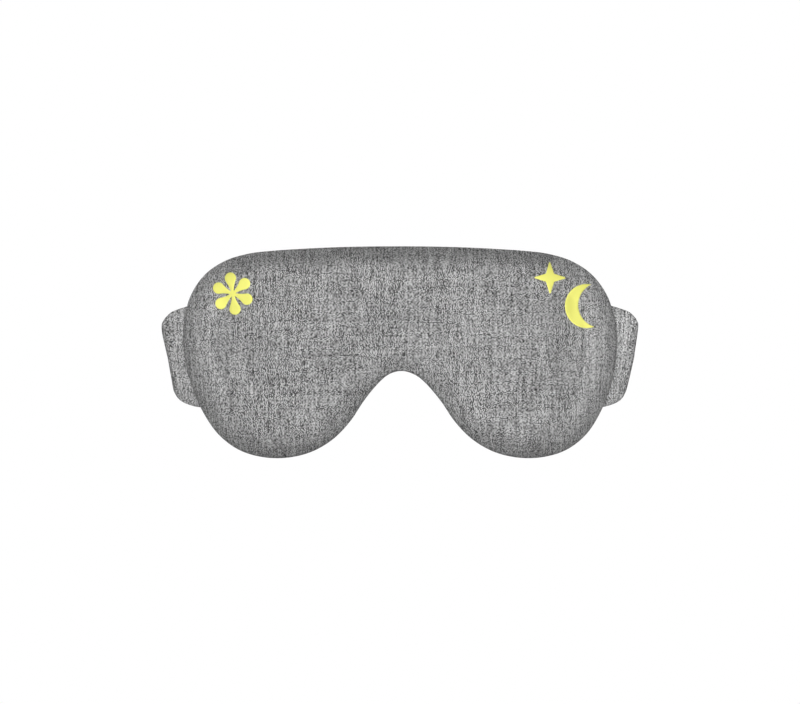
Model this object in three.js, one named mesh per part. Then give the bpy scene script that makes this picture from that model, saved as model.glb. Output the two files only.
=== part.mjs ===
// Sleep eye mask: a padded, goggle-shaped mask body with a head strap that closes behind the head.
// Millimetres, +Z up. The front of the mask faces -Y, +X is to the right seen from the front,
// and the strap closes at +Y. The origin is the middle of the wearer's side of the back lining.
import * as THREE from "three";

// ---------------------------------------------------------------- driving dimensions
// Right half of the mask's outline (x, z), from the top centre round to the top of the nose notch.
const OUTLINE = [
  [0, 52.85], [12.5, 52.8], [25, 52.6], [37.5, 52.2], [50, 51.6], [62.6, 50.8],
  [74.7, 49.45], [86.9, 45.8], [97.2, 39], [104.7, 28.5], [108.1, 17], [109, 6.6],
  [107.9, -5.5], [104.5, -18.6], [99.35, -30.7], [91.95, -41.3], [81.8, -48.8],
  [69.8, -52.3], [57.3, -52.45], [45, -49.3], [34.5, -43], [26.3, -34.4],
  [19.7, -24.4], [13, -16.4], [6.5, -11], [0, -9.2],
];
const SKEW = -0.025; // the outline leans this much, sideways per height
const NOTCH_EASE = [[-18, -22, 18, 0.75], [9, -14, 8, 0.38]]; // the notch's flanks shift sideways: centre x, z, reach, shift
const FACE_R = 290; // radius of the mask's curve round the face, seen from above
const FRONT_ROLL = 9.5; // width of the rolled rim, front and back
const FRONT_DEPTH = 10.5; // the front face stands this far in front of the rim's middle line
const BACK_DEPTH = 4.5; // the back face lies this far behind it
const CROWN = 2; // extra swell of the front in the middle of the pads
const CROWN_REACH = 15;
const SEAM_INSET = 9.1; // the cover ends here on the back, inwards of the outline
const GAP = 0.3;
const COVER_T = 1.3, LINER_T = 0.8, LINING_T = 1.3;
const EYE = { x: 33.5, z: 7, rx: 26.5, rz: 20.5, depth: 9 }; // moulded eye cavities
const COLUMNS = 36; // mesh columns across the mask

// Strap stations on the right side: [x, y, centre height, half width, slant of its crosswise lines in degrees].
const STRAP_LEAD = 2.2; // the strap's middle lies this far behind the back face
const ROOT_X = [84, 92, 99.5]; // stations that lie on the mask's back
const SIDE = [
  [104.2, 21.7, -1.85, 25.5, 2.9], [109.2, 23.5, -2, 24.2, 4.7], [112.6, 24.73, -2.1, 22.9, 6.5],
  [114.7, 25.56, -2.5, 21.3, 8.2], [115.6, 26.4, -2.8, 19.8, 9.8], [115.95, 27.8, -2.9, 18.8, 10.7],
  [116, 30.5, -3, 18, 11.1], [116.1, 35.5, -3, 17.4, 11.1], [116.1, 44, -2.8, 17, 11],
  [115.8, 55, -2.3, 16.8, 10.6], [114.8, 67, -1.7, 16.6, 9.6], [112, 80, -0.6, 16.3, 8], [106.4, 93, 1.2, 16.1, 6],
];
const TAIL_BACK = [[97, 105.4, 3.4, 16, 4], [83.5, 117.8, 5.6, 16, 2], [66.5, 128, 7.6, 16, 1],
  [47.5, 134.9, 8.8, 16, 0], [30, 137.5, 9, 16, 0]];
const BAND_BACK = [[97.6, 106.2, 3.4, 15.6, 4], [85.5, 119.6, 5.6, 15, 2], [70.5, 131.2, 7.6, 15, 1],
  [54, 139.6, 8.8, 15, 0], [36, 143.8, 9, 15, 0]];
const TAIL_END_X = 17, TAB_END_X = -27; // where the tail and the pull tab end, each past the middle
const TAB_FOLD_X = 33.5; // the pull tab lifts about this line
const STRAP_T = 3.5, STRAP_SKIN = 0.9, ELASTIC_T = 2, TAB_T = 2.5, PATCH_T = 1.2;
const SLIT = 1.3, WING_SLIT = 1.7; // half of the gap left in the strap at the fold lines
const WING_FOLD = 7, BAND_FOLD = 15.35; // station numbers of the fold lines beside and behind the mask

// Motifs: centre (x, z) and sizes.
const FLOWER = { x: -83.35, z: 29.3, cap: 7.78, capR: 2.85, hub: 1.5, tilt: 8.7 };
const STAR = { x: 74.27, z: 37.1, tip: 7.6, inner: 2.05, blunt: 0.35 };
const MOON = { x: 92.92, z: 23.17, r: 11, cx: 99.82, cz: 23.67, cr: 11.15 };
const MOTIF_LIFT = 0.55, MOTIF_T = 0.5;
const LABEL = { x: 0, z: 33, w: 20, h: 11, t: 0.4 };

const CLOTH = 0x949494, LINING = 0x38393d, FOAM = 0xd9d5c9, LINER = 0x0e0e10, YELLOW = 0xf3f17e;

// ---------------------------------------------------------------- outline
const rad = (deg) => (deg * Math.PI) / 180;
const closed = new THREE.CatmullRomCurve3(
  [
    ...OUTLINE.map(([x, z]) => new THREE.Vector3(x, 0, z)),
    ...OUTLINE.slice(1, -1).reverse().map(([x, z]) => new THREE.Vector3(-x, 0, z)),
  ],
  true,
  "centripetal",
);
const even = closed.getPoints(2000).slice(0, -1).map((p) => [p.x, p.z]);
const skew = ([x0, z]) => {
  const x = x0 + SKEW * z;
  const ease = NOTCH_EASE.reduce((sum, [cx, cz, reach, shift]) => sum + shift * Math.exp(-((x - cx) ** 2 + (z - cz) ** 2) / reach ** 2), 0);
  return [x + ease, z];
};
const dense = even.map(skew);

function distanceInside(x, z) {
  let best = Infinity;
  for (let i = 0; i < dense.length; i++) {
    const a = dense[i], b = dense[(i + 1) % dense.length];
    const ux = b[0] - a[0], uz = b[1] - a[1];
    const t = Math.max(0, Math.min(1, ((x - a[0]) * ux + (z - a[1]) * uz) / (ux * ux + uz * uz || 1)));
    best = Math.min(best, Math.hypot(x - a[0] - t * ux, z - a[1] - t * uz));
  }
  return best;
}

// The outline as 2 * COLUMNS points from the left tip over the top to the right tip and back along
// the bottom, so that point k on the top faces point 2 * COLUMNS - k on the bottom.
function outlinePoints() {
  const half = even.slice(0, 1001); // top centre to notch centre on the right
  const length = [0];
  for (let i = 1; i < half.length; i++)
    length.push(length[i - 1] + Math.hypot(half[i][0] - half[i - 1][0], half[i][1] - half[i - 1][1]));
  const tip = half.reduce((best, p, i) => (p[0] > half[best][0] ? i : best), 0);
  const at = (s) => {
    let i = 1;
    while (i < half.length - 1 && length[i] < s) i++;
    const t = (s - length[i - 1]) / (length[i] - length[i - 1] || 1);
    return [0, 1].map((k) => half[i - 1][k] + t * (half[i][k] - half[i - 1][k]));
  };
  const n = COLUMNS / 2, total = length[half.length - 1];
  const top = [], bottom = [];
  for (let k = 0; k <= n; k++) {
    top.push(at(length[tip] * (k / n) ** 1.08));
    bottom.push(at(total - (total - length[tip]) * (k / n) ** 1.28));
  }
  top[0][0] = 0;
  bottom[0][0] = 0;
  bottom[n] = [...top[n]];
  const points = [];
  for (let k = 0; k <= COLUMNS; k++) {
    const [x, z] = top[Math.abs(k - n)];
    points.push([k < n ? -x : x, z]);
  }
  for (let k = COLUMNS - 1; k > 0; k--) {
    const [x, z] = bottom[Math.abs(k - n)];
    points.push([k < n ? -x : x, z]);
  }
  return points.map(skew);
}
const rim = outlinePoints();
const inward = rim.map((_, i) => {
  const a = rim[(i + rim.length - 1) % rim.length], b = rim[(i + 1) % rim.length];
  const tx = b[0] - a[0], tz = b[1] - a[1], l = Math.hypot(tx, tz);
  return [tz / l, -tx / l];
});

// ---------------------------------------------------------------- mask surfaces
const sag = (x) => FACE_R - Math.sqrt(FACE_R * FACE_R - x * x);
const middle = (x) => sag(x) - BACK_DEPTH;
const crown = (d) => {
  const s = Math.max(0, d - FRONT_ROLL);
  return (CROWN * s * s) / (s * s + CROWN_REACH * CROWN_REACH);
};
const cavity = (x, z) => {
  const r2 = ((Math.abs(x) - EYE.x) / EYE.rx) ** 2 + ((z - EYE.z) / EYE.rz) ** 2;
  return r2 < 1 ? EYE.depth * (1 - r2) ** 2 : 0;
};
// A ring of the rolled rim at depth t under the outer surface. Angle 0 is the rim's middle line.
const roll = (t, degrees, depth) => ({
  d: t + (FRONT_ROLL - t) * (1 - Math.cos(rad(degrees))),
  y: (x) => middle(x) + Math.sign(depth) * (Math.abs(depth) - t) * Math.sin(rad(degrees)),
});
const frontAt = (t) => (x, z, d) => middle(x) - (FRONT_DEPTH - t) - crown(d);
const backAt = (t) => (x, z) => sag(x) - t - cavity(x, z);
const flat = (d, y) => ({ d, y });

const CAP_D = 12; // inside this inset the surfaces are laid out in columns and rows

// A closed body from a row of rings with a column-and-row cap at each end.
function ringBody(rings, first, last) {
  const pos = [], tri = [], n = rim.length;
  const put = (x, y, z) => pos.push(x, y, z) / 3 - 1;
  const made = rings.map((ring) =>
    rim.map(([x, z], i) => {
      const px = x + inward[i][0] * ring.d, pz = z + inward[i][1] * ring.d;
      return put(px, ring.y(px, pz, ring.d), pz);
    }),
  );
  for (let r = 1; r < made.length; r++)
    for (let i = 0; i < n; i++) {
      const j = (i + 1) % n, a = made[r - 1], b = made[r];
      if (rings[r - 1].d <= rings[r].d) tri.push(a[i], a[j], b[j], a[i], b[j], b[i]);
      else tri.push(a[i], a[j], b[i], a[j], b[j], b[i]);
    }
  const cap = (ring, { rows, y }, facing) => {
    const at = (k, r) => {
      if (k === 0) return ring[0];
      if (k === COLUMNS) return ring[COLUMNS];
      return r === 0 ? ring[k] : r === rows ? ring[2 * COLUMNS - k] : null;
    };
    const grid = [];
    for (let k = 0; k <= COLUMNS; k++) {
      grid.push([]);
      const top = ring[k], low = ring[(2 * COLUMNS - k) % (2 * COLUMNS)];
      for (let r = 0; r <= rows; r++) {
        const known = at(k, r);
        if (known !== null) {
          grid[k].push(known);
          continue;
        }
        const f = r / rows;
        const x = pos[3 * top] * (1 - f) + pos[3 * low] * f;
        const z = pos[3 * top + 2] * (1 - f) + pos[3 * low + 2] * f;
        grid[k].push(put(x, y(x, z, distanceInside(x, z)), z));
      }
    }
    for (let k = 0; k < COLUMNS; k++)
      for (let r = 0; r < rows; r++) {
        const [a, b, c, d] = [grid[k][r], grid[k + 1][r], grid[k + 1][r + 1], grid[k][r + 1]];
        for (const t of [[a, b, c], [a, c, d]])
          if (new Set(t).size === 3) tri.push(...(facing > 0 ? t : [t[0], t[2], t[1]]));
      }
  };
  cap(made[0], first, -1);
  cap(made[made.length - 1], last, 1);
  return solidGeometry(pos, tri);
}

function solidGeometry(pos, tri) {
  let volume = 0;
  for (let i = 0; i < tri.length; i += 3) {
    const [a, b, c] = [0, 1, 2].map((k) => new THREE.Vector3().fromArray(pos, 3 * tri[i + k]));
    volume += a.dot(b.cross(c));
  }
  if (volume < 0) for (let i = 0; i < tri.length; i += 3) [tri[i + 1], tri[i + 2]] = [tri[i + 2], tri[i + 1]];
  const g = new THREE.BufferGeometry();
  g.setAttribute("position", new THREE.Float32BufferAttribute(pos, 3));
  g.setIndex(tri);
  g.computeVertexNormals();
  return g;
}

const FRONT_ROWS = 4, BACK_ROWS = 8;
const ringsFront = (t) => [flat(CAP_D, frontAt(t)), roll(t, 90, -FRONT_DEPTH), roll(t, 45, -FRONT_DEPTH)];
const ringsBack = (t) => [roll(t, 45, BACK_DEPTH)];

function frontCover() {
  const inner = COVER_T, edge = (t) => ({ d: SEAM_INSET, y: (x) => sag(x) - t });
  return ringBody(
    [
      ...ringsFront(0), roll(0, 0, 1), ...ringsBack(0), edge(0),
      edge(inner), ...ringsBack(inner), roll(inner, 0, 1), ...ringsFront(inner).reverse(),
    ],
    { rows: FRONT_ROWS, y: frontAt(0) },
    { rows: FRONT_ROWS, y: frontAt(inner) },
  );
}

function foamCore() {
  const t = COVER_T + GAP, back = LINING_T + GAP + LINER_T + GAP;
  return ringBody(
    [
      ...ringsFront(t), roll(t, 0, 1), ...ringsBack(t),
      flat(FRONT_ROLL, backAt(t)), flat(10.1, backAt(back)), flat(CAP_D, backAt(back)),
    ],
    { rows: FRONT_ROWS, y: frontAt(t) },
    { rows: BACK_ROWS, y: backAt(back) },
  );
}

function backSheet(d, t0, t1) {
  return ringBody(
    [flat(CAP_D, backAt(t0)), flat(d, backAt(t0)), flat(d, backAt(t1)), flat(CAP_D, backAt(t1))],
    { rows: BACK_ROWS, y: backAt(t0) },
    { rows: BACK_ROWS, y: backAt(t1) },
  );
}

// ---------------------------------------------------------------- motifs
function frontSurface(x, z) {
  const d = distanceInside(x, z);
  const s = 1 - Math.min(1, d / FRONT_ROLL);
  return middle(x) - FRONT_DEPTH * Math.sqrt(1 - s * s) - crown(d);
}

// A thin plate of the given outline that follows the surface y(x, z) from lift to lift + thickness.
function plate(outline, surface, lift, thickness) {
  const flatShape = outline.map(([x, z]) => new THREE.Vector2(x, z));
  if (THREE.ShapeUtils.isClockWise(flatShape)) flatShape.reverse();
  const faces = THREE.ShapeUtils.triangulateShape(flatShape, []);
  const n = flatShape.length, pos = [], tri = [];
  for (const side of [lift, lift + thickness])
    for (const p of flatShape) pos.push(p.x, surface(p.x, p.y) + side, p.y);
  for (const [a, b, c] of faces) tri.push(a, b, c, n + a, n + c, n + b);
  for (let i = 0; i < n; i++) {
    const j = (i + 1) % n;
    tri.push(j, i, n + i, j, n + i, n + j);
  }
  return solidGeometry(pos, tri);
}

// Six teardrop petals that meet in a small hub.
function flowerOutline() {
  const { x, z, cap, capR, hub, tilt } = FLOWER, points = [];
  const half = Math.asin(capR / cap), reach = Math.sqrt(cap * cap - capR * capR);
  for (let k = 0; k < 6; k++) {
    const axis = rad(90 + tilt - 60 * k);
    const polar = (r, a) => points.push([x + r * Math.cos(a), z + r * Math.sin(a)]);
    polar(hub, axis + rad(27));
    polar(reach, axis + half);
    for (let i = 1; i < 8; i++) {
      const a = axis + Math.PI / 2 + half - (i / 8) * (Math.PI + 2 * half);
      points.push([x + cap * Math.cos(axis) + capR * Math.cos(a), z + cap * Math.sin(axis) + capR * Math.sin(a)]);
    }
    polar(reach, axis - half);
  }
  return points;
}

function starOutline() {
  const { x, z, tip, inner, blunt } = STAR, points = [];
  for (let k = 0; k < 4; k++) {
    const c = Math.round(Math.cos(rad(90 * k))), s = Math.round(Math.sin(rad(90 * k)));
    const turn = (u, v) => points.push([x + u * c - v * s, z + u * s + v * c]);
    turn(tip, -blunt);
    turn(tip, blunt);
    turn(inner, inner);
  }
  return points;
}

function moonOutline() {
  const { x, z, r, cx, cz, cr } = MOON;
  const gap = Math.hypot(cx - x, cz - z), toward = Math.atan2(cz - z, cx - x);
  const a = Math.acos((gap * gap + r * r - cr * cr) / (2 * gap * r));
  const b = Math.acos((gap * gap + cr * cr - r * r) / (2 * gap * cr));
  const points = [];
  for (let i = 0; i <= 20; i++) {
    const t = toward + a + (i / 20) * 2 * (Math.PI - a);
    points.push([x + r * Math.cos(t), z + r * Math.sin(t)]);
  }
  for (let i = 1; i < 12; i++) {
    const t = toward + Math.PI + b - (i / 12) * 2 * b;
    points.push([cx + cr * Math.cos(t), cz + cr * Math.sin(t)]);
  }
  return points;
}

// ---------------------------------------------------------------- strap
const rootStations = ROOT_X.map((x) => {
  const slope = x / Math.sqrt(FACE_R * FACE_R - x * x), l = Math.hypot(slope, 1);
  return [x - (slope / l) * STRAP_LEAD, sag(x) + STRAP_LEAD / l, -2.2, 25.4, 0];
});

// A path through stations, then straight on along -X from the last one, one station per 12 mm.
function strapPath(stations) {
  const last = stations.length - 1;
  const end = [...stations[last]];
  const after = [2 * end[0] - stations[last - 1][0], stations[last - 1][1], end[2], end[3], end[4]];
  const before = stations[0].map((v, i) => 2 * v - stations[1][i]);
  const all = [before, ...stations, after];
  return (s) => {
    if (s >= last) {
      const p = [...end];
      p[0] = end[0] - 12 * (s - last);
      return { p, t: [-1, 0] };
    }
    const i = Math.max(0, Math.floor(s)), f = s - i;
    const [a, b, c, d] = [all[i], all[i + 1], all[i + 2], all[i + 3]];
    const p = b.map((_, k) =>
      0.5 * (2 * b[k] + (c[k] - a[k]) * f + (2 * a[k] - 5 * b[k] + 4 * c[k] - d[k]) * f * f +
        (3 * b[k] - a[k] - 3 * c[k] + d[k]) * f * f * f));
    const t = [0, 1].map((k) =>
      0.5 * (c[k] - a[k] + 2 * (2 * a[k] - 5 * b[k] + 4 * c[k] - d[k]) * f +
        3 * (3 * b[k] - a[k] - 3 * c[k] + d[k]) * f * f));
    const l = Math.hypot(t[0], t[1]);
    return { p, t: [t[0] / l, t[1] / l] };
  };
}
const tailPath = strapPath([...rootStations, ...SIDE, ...TAIL_BACK]);
const bandPath = strapPath([...rootStations, ...SIDE, ...BAND_BACK]);
const LAST = rootStations.length + SIDE.length + TAIL_BACK.length - 1;
const stationAtX = (endX, x) => LAST + (endX - x) / 12;

// A point of the strap: offset o outwards from its middle and v along its crosswise line.
function strapPoint(path, s, o, v, side) {
  const { p, t } = path(s);
  const slant = rad(p[4]);
  return [side * (p[0] + t[1] * o + v * Math.sin(slant)), p[1] - t[0] * o, p[2] + v * Math.cos(slant)];
}

// A strip of the strap between stations s0 and s1, moved along by trim mm at each end.
function strapStrip({ path, side, s0, s1, o0, o1, inset = 0, trim0 = 0, trim1 = 0, step = 0.5, half = null }) {
  const speed = (s) => {
    const a = path(s - 0.01).p, b = path(s + 0.01).p;
    return Math.hypot(b[0] - a[0], b[1] - a[1]) / 0.02;
  };
  const from = s0 + trim0 / speed(s0 + 0.02), to = s1 - trim1 / speed(s1 - 0.02);
  const n = Math.max(1, Math.round((to - from) / step)), pos = [], tri = [];
  for (let i = 0; i <= n; i++) {
    const s = from + ((to - from) * i) / n;
    const h = (half ?? path(s).p[3]) - inset;
    for (const [o, v] of [[o0, -h], [o1, -h], [o1, h], [o0, h]]) pos.push(...strapPoint(path, s, o, v, side));
  }
  for (let i = 0; i < n; i++)
    for (let k = 0; k < 4; k++) {
      const a = 4 * i + k, b = 4 * i + ((k + 1) % 4);
      if (k === 3) tri.push(a, b, a + 4, b, b + 4, a + 4); // both faces split along the same diagonal
      else tri.push(a, b, b + 4, a, b + 4, a + 4);
    }
  tri.push(0, 2, 1, 0, 3, 2);
  const e = 4 * n;
  tri.push(e, e + 1, e + 2, e, e + 2, e + 3);
  return solidGeometry(pos, tri);
}

const H = STRAP_T / 2;
// The three layers of a padded strap length: outer cloth, foam and inner lining.
const strapLayers = (piece) => ({
  cover: strapStrip({ ...piece, o0: H - STRAP_SKIN, o1: H }),
  foam: strapStrip({ ...piece, o0: -H + STRAP_SKIN + GAP, o1: H - STRAP_SKIN - GAP, inset: 0.8 }),
  lining: strapStrip({ ...piece, o0: -H, o1: -H + STRAP_SKIN }),
});

// A stitched rectangle: one raised thread line that closes on itself, on the strap's inner face.
function stitchFrame({ path, side, s0, s1, v, width, o0, o1 }) {
  const pos = [], tri = [], loop = [];
  const edge = (a, b, n) => {
    for (let i = 0; i < n; i++) loop.push([a[0] + ((b[0] - a[0]) * i) / n, a[1] + ((b[1] - a[1]) * i) / n]);
  };
  edge([s0, -v], [s1, -v], 2);
  edge([s1, -v], [s1, v], 1);
  edge([s1, v], [s0, v], 2);
  edge([s0, v], [s0, -v], 1);
  const mid = (s0 + s1) / 2;
  const perMm = 1 / Math.hypot(path(s1).p[0] - path(s0).p[0], path(s1).p[1] - path(s0).p[1]) * (s1 - s0);
  for (const [s, h] of loop) {
    const inS = s < mid - 1e-6 ? 1 : s > mid + 1e-6 ? -1 : 0, inV = Math.sign(-h);
    for (const [o, k] of [[o0, 0], [o1, 0], [o1, 1], [o0, 1]])
      pos.push(...strapPoint(path, s + k * inS * width * perMm, o, h + k * inV * width, side));
  }
  const n = loop.length;
  for (let i = 0; i < n; i++)
    for (let k = 0; k < 4; k++) {
      const j = (i + 1) % n, l = (k + 1) % 4;
      tri.push(4 * i + k, 4 * i + l, 4 * j + l, 4 * i + k, 4 * j + l, 4 * j + k);
    }
  return solidGeometry(pos, tri);
}

// ---------------------------------------------------------------- assembly
const group = new THREE.Group();
function add(name, geometry, color, roughness, metalness = 0) {
  const mesh = new THREE.Mesh(geometry, new THREE.MeshStandardMaterial({ color, roughness, metalness }));
  mesh.name = name;
  group.add(mesh);
}

add("front_cover", frontCover(), CLOTH, 0.95);
add("foam_core", foamCore(), FOAM, 0.95);
add("blackout_liner", backSheet(10.6, LINING_T + GAP, LINING_T + GAP + LINER_T), LINER, 0.8);
add("back_lining", backSheet(FRONT_ROLL, 0, LINING_T), LINING, 0.9);
const motif = (outline) => plate(outline, frontSurface, -MOTIF_LIFT - MOTIF_T, MOTIF_T);
add("motif_flower", motif(flowerOutline()), YELLOW, 0.55);
add("motif_star", motif(starOutline()), YELLOW, 0.55);
add("motif_moon", motif(moonOutline()), YELLOW, 0.55);
const labelCorner = (u, v) => [LABEL.x + (u * LABEL.w) / 2, LABEL.z + (v * LABEL.h) / 2];
add("care_label",
  plate([[-1, -1], [0, -1], [1, -1], [1, 1], [0, 1], [-1, 1]].map(([u, v]) => labelCorner(u, v)),
    (x, z) => backAt(0)(x, z), GAP, LABEL.t),
  0xe9e9e4, 0.8);

for (const [side, name] of [[-1, "left"], [1, "right"]]) {
  const path = side < 0 ? tailPath : bandPath;
  const pieces = {
    root: { s0: 0, s1: WING_FOLD, trim1: WING_SLIT },
    wing: { s0: WING_FOLD, s1: BAND_FOLD, trim0: WING_SLIT, trim1: SLIT },
  };
  if (side < 0) pieces.tail = { s0: BAND_FOLD, s1: stationAtX(30, -TAIL_END_X), trim0: SLIT };
  for (const [piece, span] of Object.entries(pieces)) {
    const layers = strapLayers({ path, side, ...span });
    add(`${name}_${piece}_cover`, layers.cover, CLOTH, 0.95);
    add(`${name}_${piece}_foam`, layers.foam, FOAM, 0.95);
    add(`${name}_${piece}_lining`, layers.lining, LINING, 0.9);
  }
  add(`${name}_anchor_stitching`,
    stitchFrame({ path, side, s0: 0.25, s1: 1.95, v: 22.6, width: 0.7, o0: -H - GAP - 0.5, o1: -H - GAP }),
    0x77787a, 0.7);
}
const tailS = (x) => stationAtX(30, -x); // station of x on the tail, which passes the middle towards +X
const tabS = (x) => stationAtX(36, x);
add("loop_patch",
  strapStrip({ path: tailPath, side: -1, s0: LAST - 0.6, s1: tailS(TAIL_END_X - 1.5), o0: H + GAP, o1: H + GAP + PATCH_T, half: 13.5 }),
  0x2c2d30, 1);
add("right_elastic",
  strapStrip({ path: bandPath, side: 1, s0: BAND_FOLD, s1: LAST - 0.65, trim0: SLIT, o0: -ELASTIC_T / 2, o1: ELASTIC_T / 2, half: 14.8 }),
  0x3a3b3f, 0.85);
add("tab_root",
  strapStrip({ path: bandPath, side: 1, s0: LAST - 0.65, s1: tabS(TAB_FOLD_X), trim0: GAP, trim1: SLIT, o0: -TAB_T / 2, o1: TAB_T / 2 }),
  CLOTH, 0.95);
add("hook_tab",
  strapStrip({ path: bandPath, side: 1, s0: tabS(TAB_FOLD_X), s1: tabS(TAB_END_X), trim0: SLIT, o0: -TAB_T / 2, o1: TAB_T / 2, step: 1 }),
  CLOTH, 0.95);
add("hook_patch",
  strapStrip({ path: bandPath, side: 1, s0: tabS(16), s1: tabS(TAB_END_X + 8), o0: -TAB_T / 2 - GAP - PATCH_T, o1: -TAB_T / 2 - GAP, half: 13, step: 1 }),
  0x1f2023, 0.9);

export default group;
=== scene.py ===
import math

import bpy
import numpy as np
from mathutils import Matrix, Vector
from mathutils.bvhtree import BVHTree
from mathutils.geometry import delaunay_2d_cdt


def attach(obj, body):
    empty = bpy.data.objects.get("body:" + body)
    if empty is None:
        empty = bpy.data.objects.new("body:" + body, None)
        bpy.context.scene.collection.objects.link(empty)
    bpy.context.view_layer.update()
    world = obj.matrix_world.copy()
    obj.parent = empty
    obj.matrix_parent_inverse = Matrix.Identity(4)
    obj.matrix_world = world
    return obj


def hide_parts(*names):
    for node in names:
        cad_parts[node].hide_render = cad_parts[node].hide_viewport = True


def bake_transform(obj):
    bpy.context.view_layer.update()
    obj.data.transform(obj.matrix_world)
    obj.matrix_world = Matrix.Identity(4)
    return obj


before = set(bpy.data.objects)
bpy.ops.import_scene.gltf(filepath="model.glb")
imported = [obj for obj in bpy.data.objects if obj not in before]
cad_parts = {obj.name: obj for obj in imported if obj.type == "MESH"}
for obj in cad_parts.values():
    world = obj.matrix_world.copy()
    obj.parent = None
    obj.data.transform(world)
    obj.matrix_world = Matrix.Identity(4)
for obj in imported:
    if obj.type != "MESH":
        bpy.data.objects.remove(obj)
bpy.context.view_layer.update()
rng = np.random.default_rng(7)

# ---------------------------------------------------------------- shared dimensions, millimetres
OUTLINE = [
    [0, 52.85], [12.5, 52.8], [25, 52.6], [37.5, 52.2], [50, 51.6], [62.6, 50.8],
    [74.7, 49.45], [86.9, 45.8], [97.2, 39], [104.7, 28.5], [108.1, 17], [109, 6.6],
    [107.9, -5.5], [104.5, -18.6], [99.35, -30.7], [91.95, -41.3], [81.8, -48.8],
    [69.8, -52.3], [57.3, -52.45], [45, -49.3], [34.5, -43], [26.3, -34.4],
    [19.7, -24.4], [13, -16.4], [6.5, -11], [0, -9.2],
]
FACE_R = 290.0
BACK_DEPTH = 4.5
SEAM_INSET = 9.1
EYE = dict(x=33.5, z=7.0, rx=26.5, rz=20.5, depth=9.0)
STRAP_LEAD = 2.2
ROOT_X = [84, 92, 99.5]
SIDE = [
    [104.2, 21.7, -1.85, 25.5, 2.9], [109.2, 23.5, -2, 24.2, 4.7], [112.6, 24.73, -2.1, 22.9, 6.5],
    [114.7, 25.56, -2.5, 21.3, 8.2], [115.6, 26.4, -2.8, 19.8, 9.8], [115.95, 27.8, -2.9, 18.8, 10.7],
    [116, 30.5, -3, 18, 11.1], [116.1, 35.5, -3, 17.4, 11.1], [116.1, 44, -2.8, 17, 11],
    [115.8, 55, -2.3, 16.8, 10.6], [114.8, 67, -1.7, 16.6, 9.6], [112, 80, -0.6, 16.3, 8], [106.4, 93, 1.2, 16.1, 6],
]
TAIL_BACK = [[97, 105.4, 3.4, 16, 4], [83.5, 117.8, 5.6, 16, 2], [66.5, 128, 7.6, 16, 1],
             [47.5, 134.9, 8.8, 16, 0], [30, 137.5, 9, 16, 0]]
BAND_BACK = [[97.6, 106.2, 3.4, 15.6, 4], [85.5, 119.6, 5.6, 15, 2], [70.5, 131.2, 7.6, 15, 1],
             [54, 139.6, 8.8, 15, 0], [36, 143.8, 9, 15, 0]]
WING_FOLD, BAND_FOLD, TAB_FOLD_X = 7.0, 15.35, 33.5
SKEW = -0.025
NOTCH_EASE = [[-18, -22, 18, 0.75], [9, -14, 8, 0.38]]  # centre x, z, reach and sideways shift
FLOWER = dict(x=-83.35, z=29.3, cap=7.78, capR=2.85, hub=1.5, tilt=8.7)
STAR = dict(x=74.27, z=37.1, tip=7.6, inner=2.05, blunt=0.35)
MOON = dict(x=92.92, z=23.17, r=11.0, cx=99.82, cz=23.67, cr=11.15)
COLS = 200


# ---------------------------------------------------------------- small mesh kit (millimetres in, metres out)
def make(name, V, F, uv=None, material=None, smooth=True, corners=None):
    """A mesh object from an (n, 3) array in millimetres, faces, and per-vertex weave coordinates."""
    mesh = bpy.data.meshes.new(name)
    mesh.from_pydata((np.asarray(V, float) / 1000).tolist(), [], [list(map(int, f)) for f in F])
    mesh.update()
    if uv is not None:
        layer = mesh.uv_layers.new(name="weave")
        idx = np.zeros(len(mesh.loops), np.int32)
        mesh.loops.foreach_get("vertex_index", idx)
        at = np.asarray(uv, np.float32)[idx]
        for face, values in (corners or {}).items():  # faces whose corners carry their own coordinates
            first = mesh.polygons[face].loop_start
            at[first:first + len(values)] = values
        layer.data.foreach_set("uv", at.ravel())
    mesh.polygons.foreach_set("use_smooth", [smooth] * len(mesh.polygons))
    o = bpy.data.objects.new(name, mesh)
    bpy.context.scene.collection.objects.link(o)
    if material is not None:
        mesh.materials.append(material)
    return o


def vertex_normals(V, F):
    N = np.zeros_like(V)
    for size in (3, 4):
        f = np.array([x for x in F if len(x) == size], int)
        if len(f) == 0:
            continue
        if size == 3:
            n = np.cross(V[f[:, 1]] - V[f[:, 0]], V[f[:, 2]] - V[f[:, 0]])
        else:
            n = np.cross(V[f[:, 2]] - V[f[:, 0]], V[f[:, 3]] - V[f[:, 1]])
        for k in range(size):
            np.add.at(N, f[:, k], n)
    return N / np.maximum(np.linalg.norm(N, axis=1, keepdims=True), 1e-12)


def thicken(V, F, uv, t, edge_rows=1):
    """Closes an open surface into a thin solid, t millimetres thick on its inner side."""
    N = vertex_normals(V, F)
    n = len(V)
    W = np.vstack([V, V - N * t])
    faces = [list(f) for f in F] + [[i + n for i in reversed(f)] for f in F]
    seen = {}
    for f in F:
        for i in range(len(f)):
            seen[(f[i], f[(i + 1) % len(f)])] = True
    for (a, b) in list(seen):
        if (b, a) not in seen:
            faces.append([b, a, a + n, b + n])
    return W, faces, np.vstack([uv, uv])


def tube(sections, closed_ends=True):
    """A closed solid through a row of cross-sections with the same number of points."""
    S, K = len(sections), len(sections[0])
    V = np.vstack(sections)
    F = []
    for i in range(S - 1):
        for k in range(K):
            a, b = i * K + k, i * K + (k + 1) % K
            F.append([a, b, b + K, a + K])
    if closed_ends:
        F.append(list(range(K))[::-1])
        F.append([(S - 1) * K + k for k in range(K)])
    return V, F


def outward(V, F):
    """Faces turned so that the solid's volume is positive."""
    vol = 0.0
    for f in F:
        for i in range(1, len(f) - 1):
            vol += np.dot(V[f[0]], np.cross(V[f[i]], V[f[i + 1]]))
    return F if vol > 0 else [list(reversed(f)) for f in F]


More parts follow.
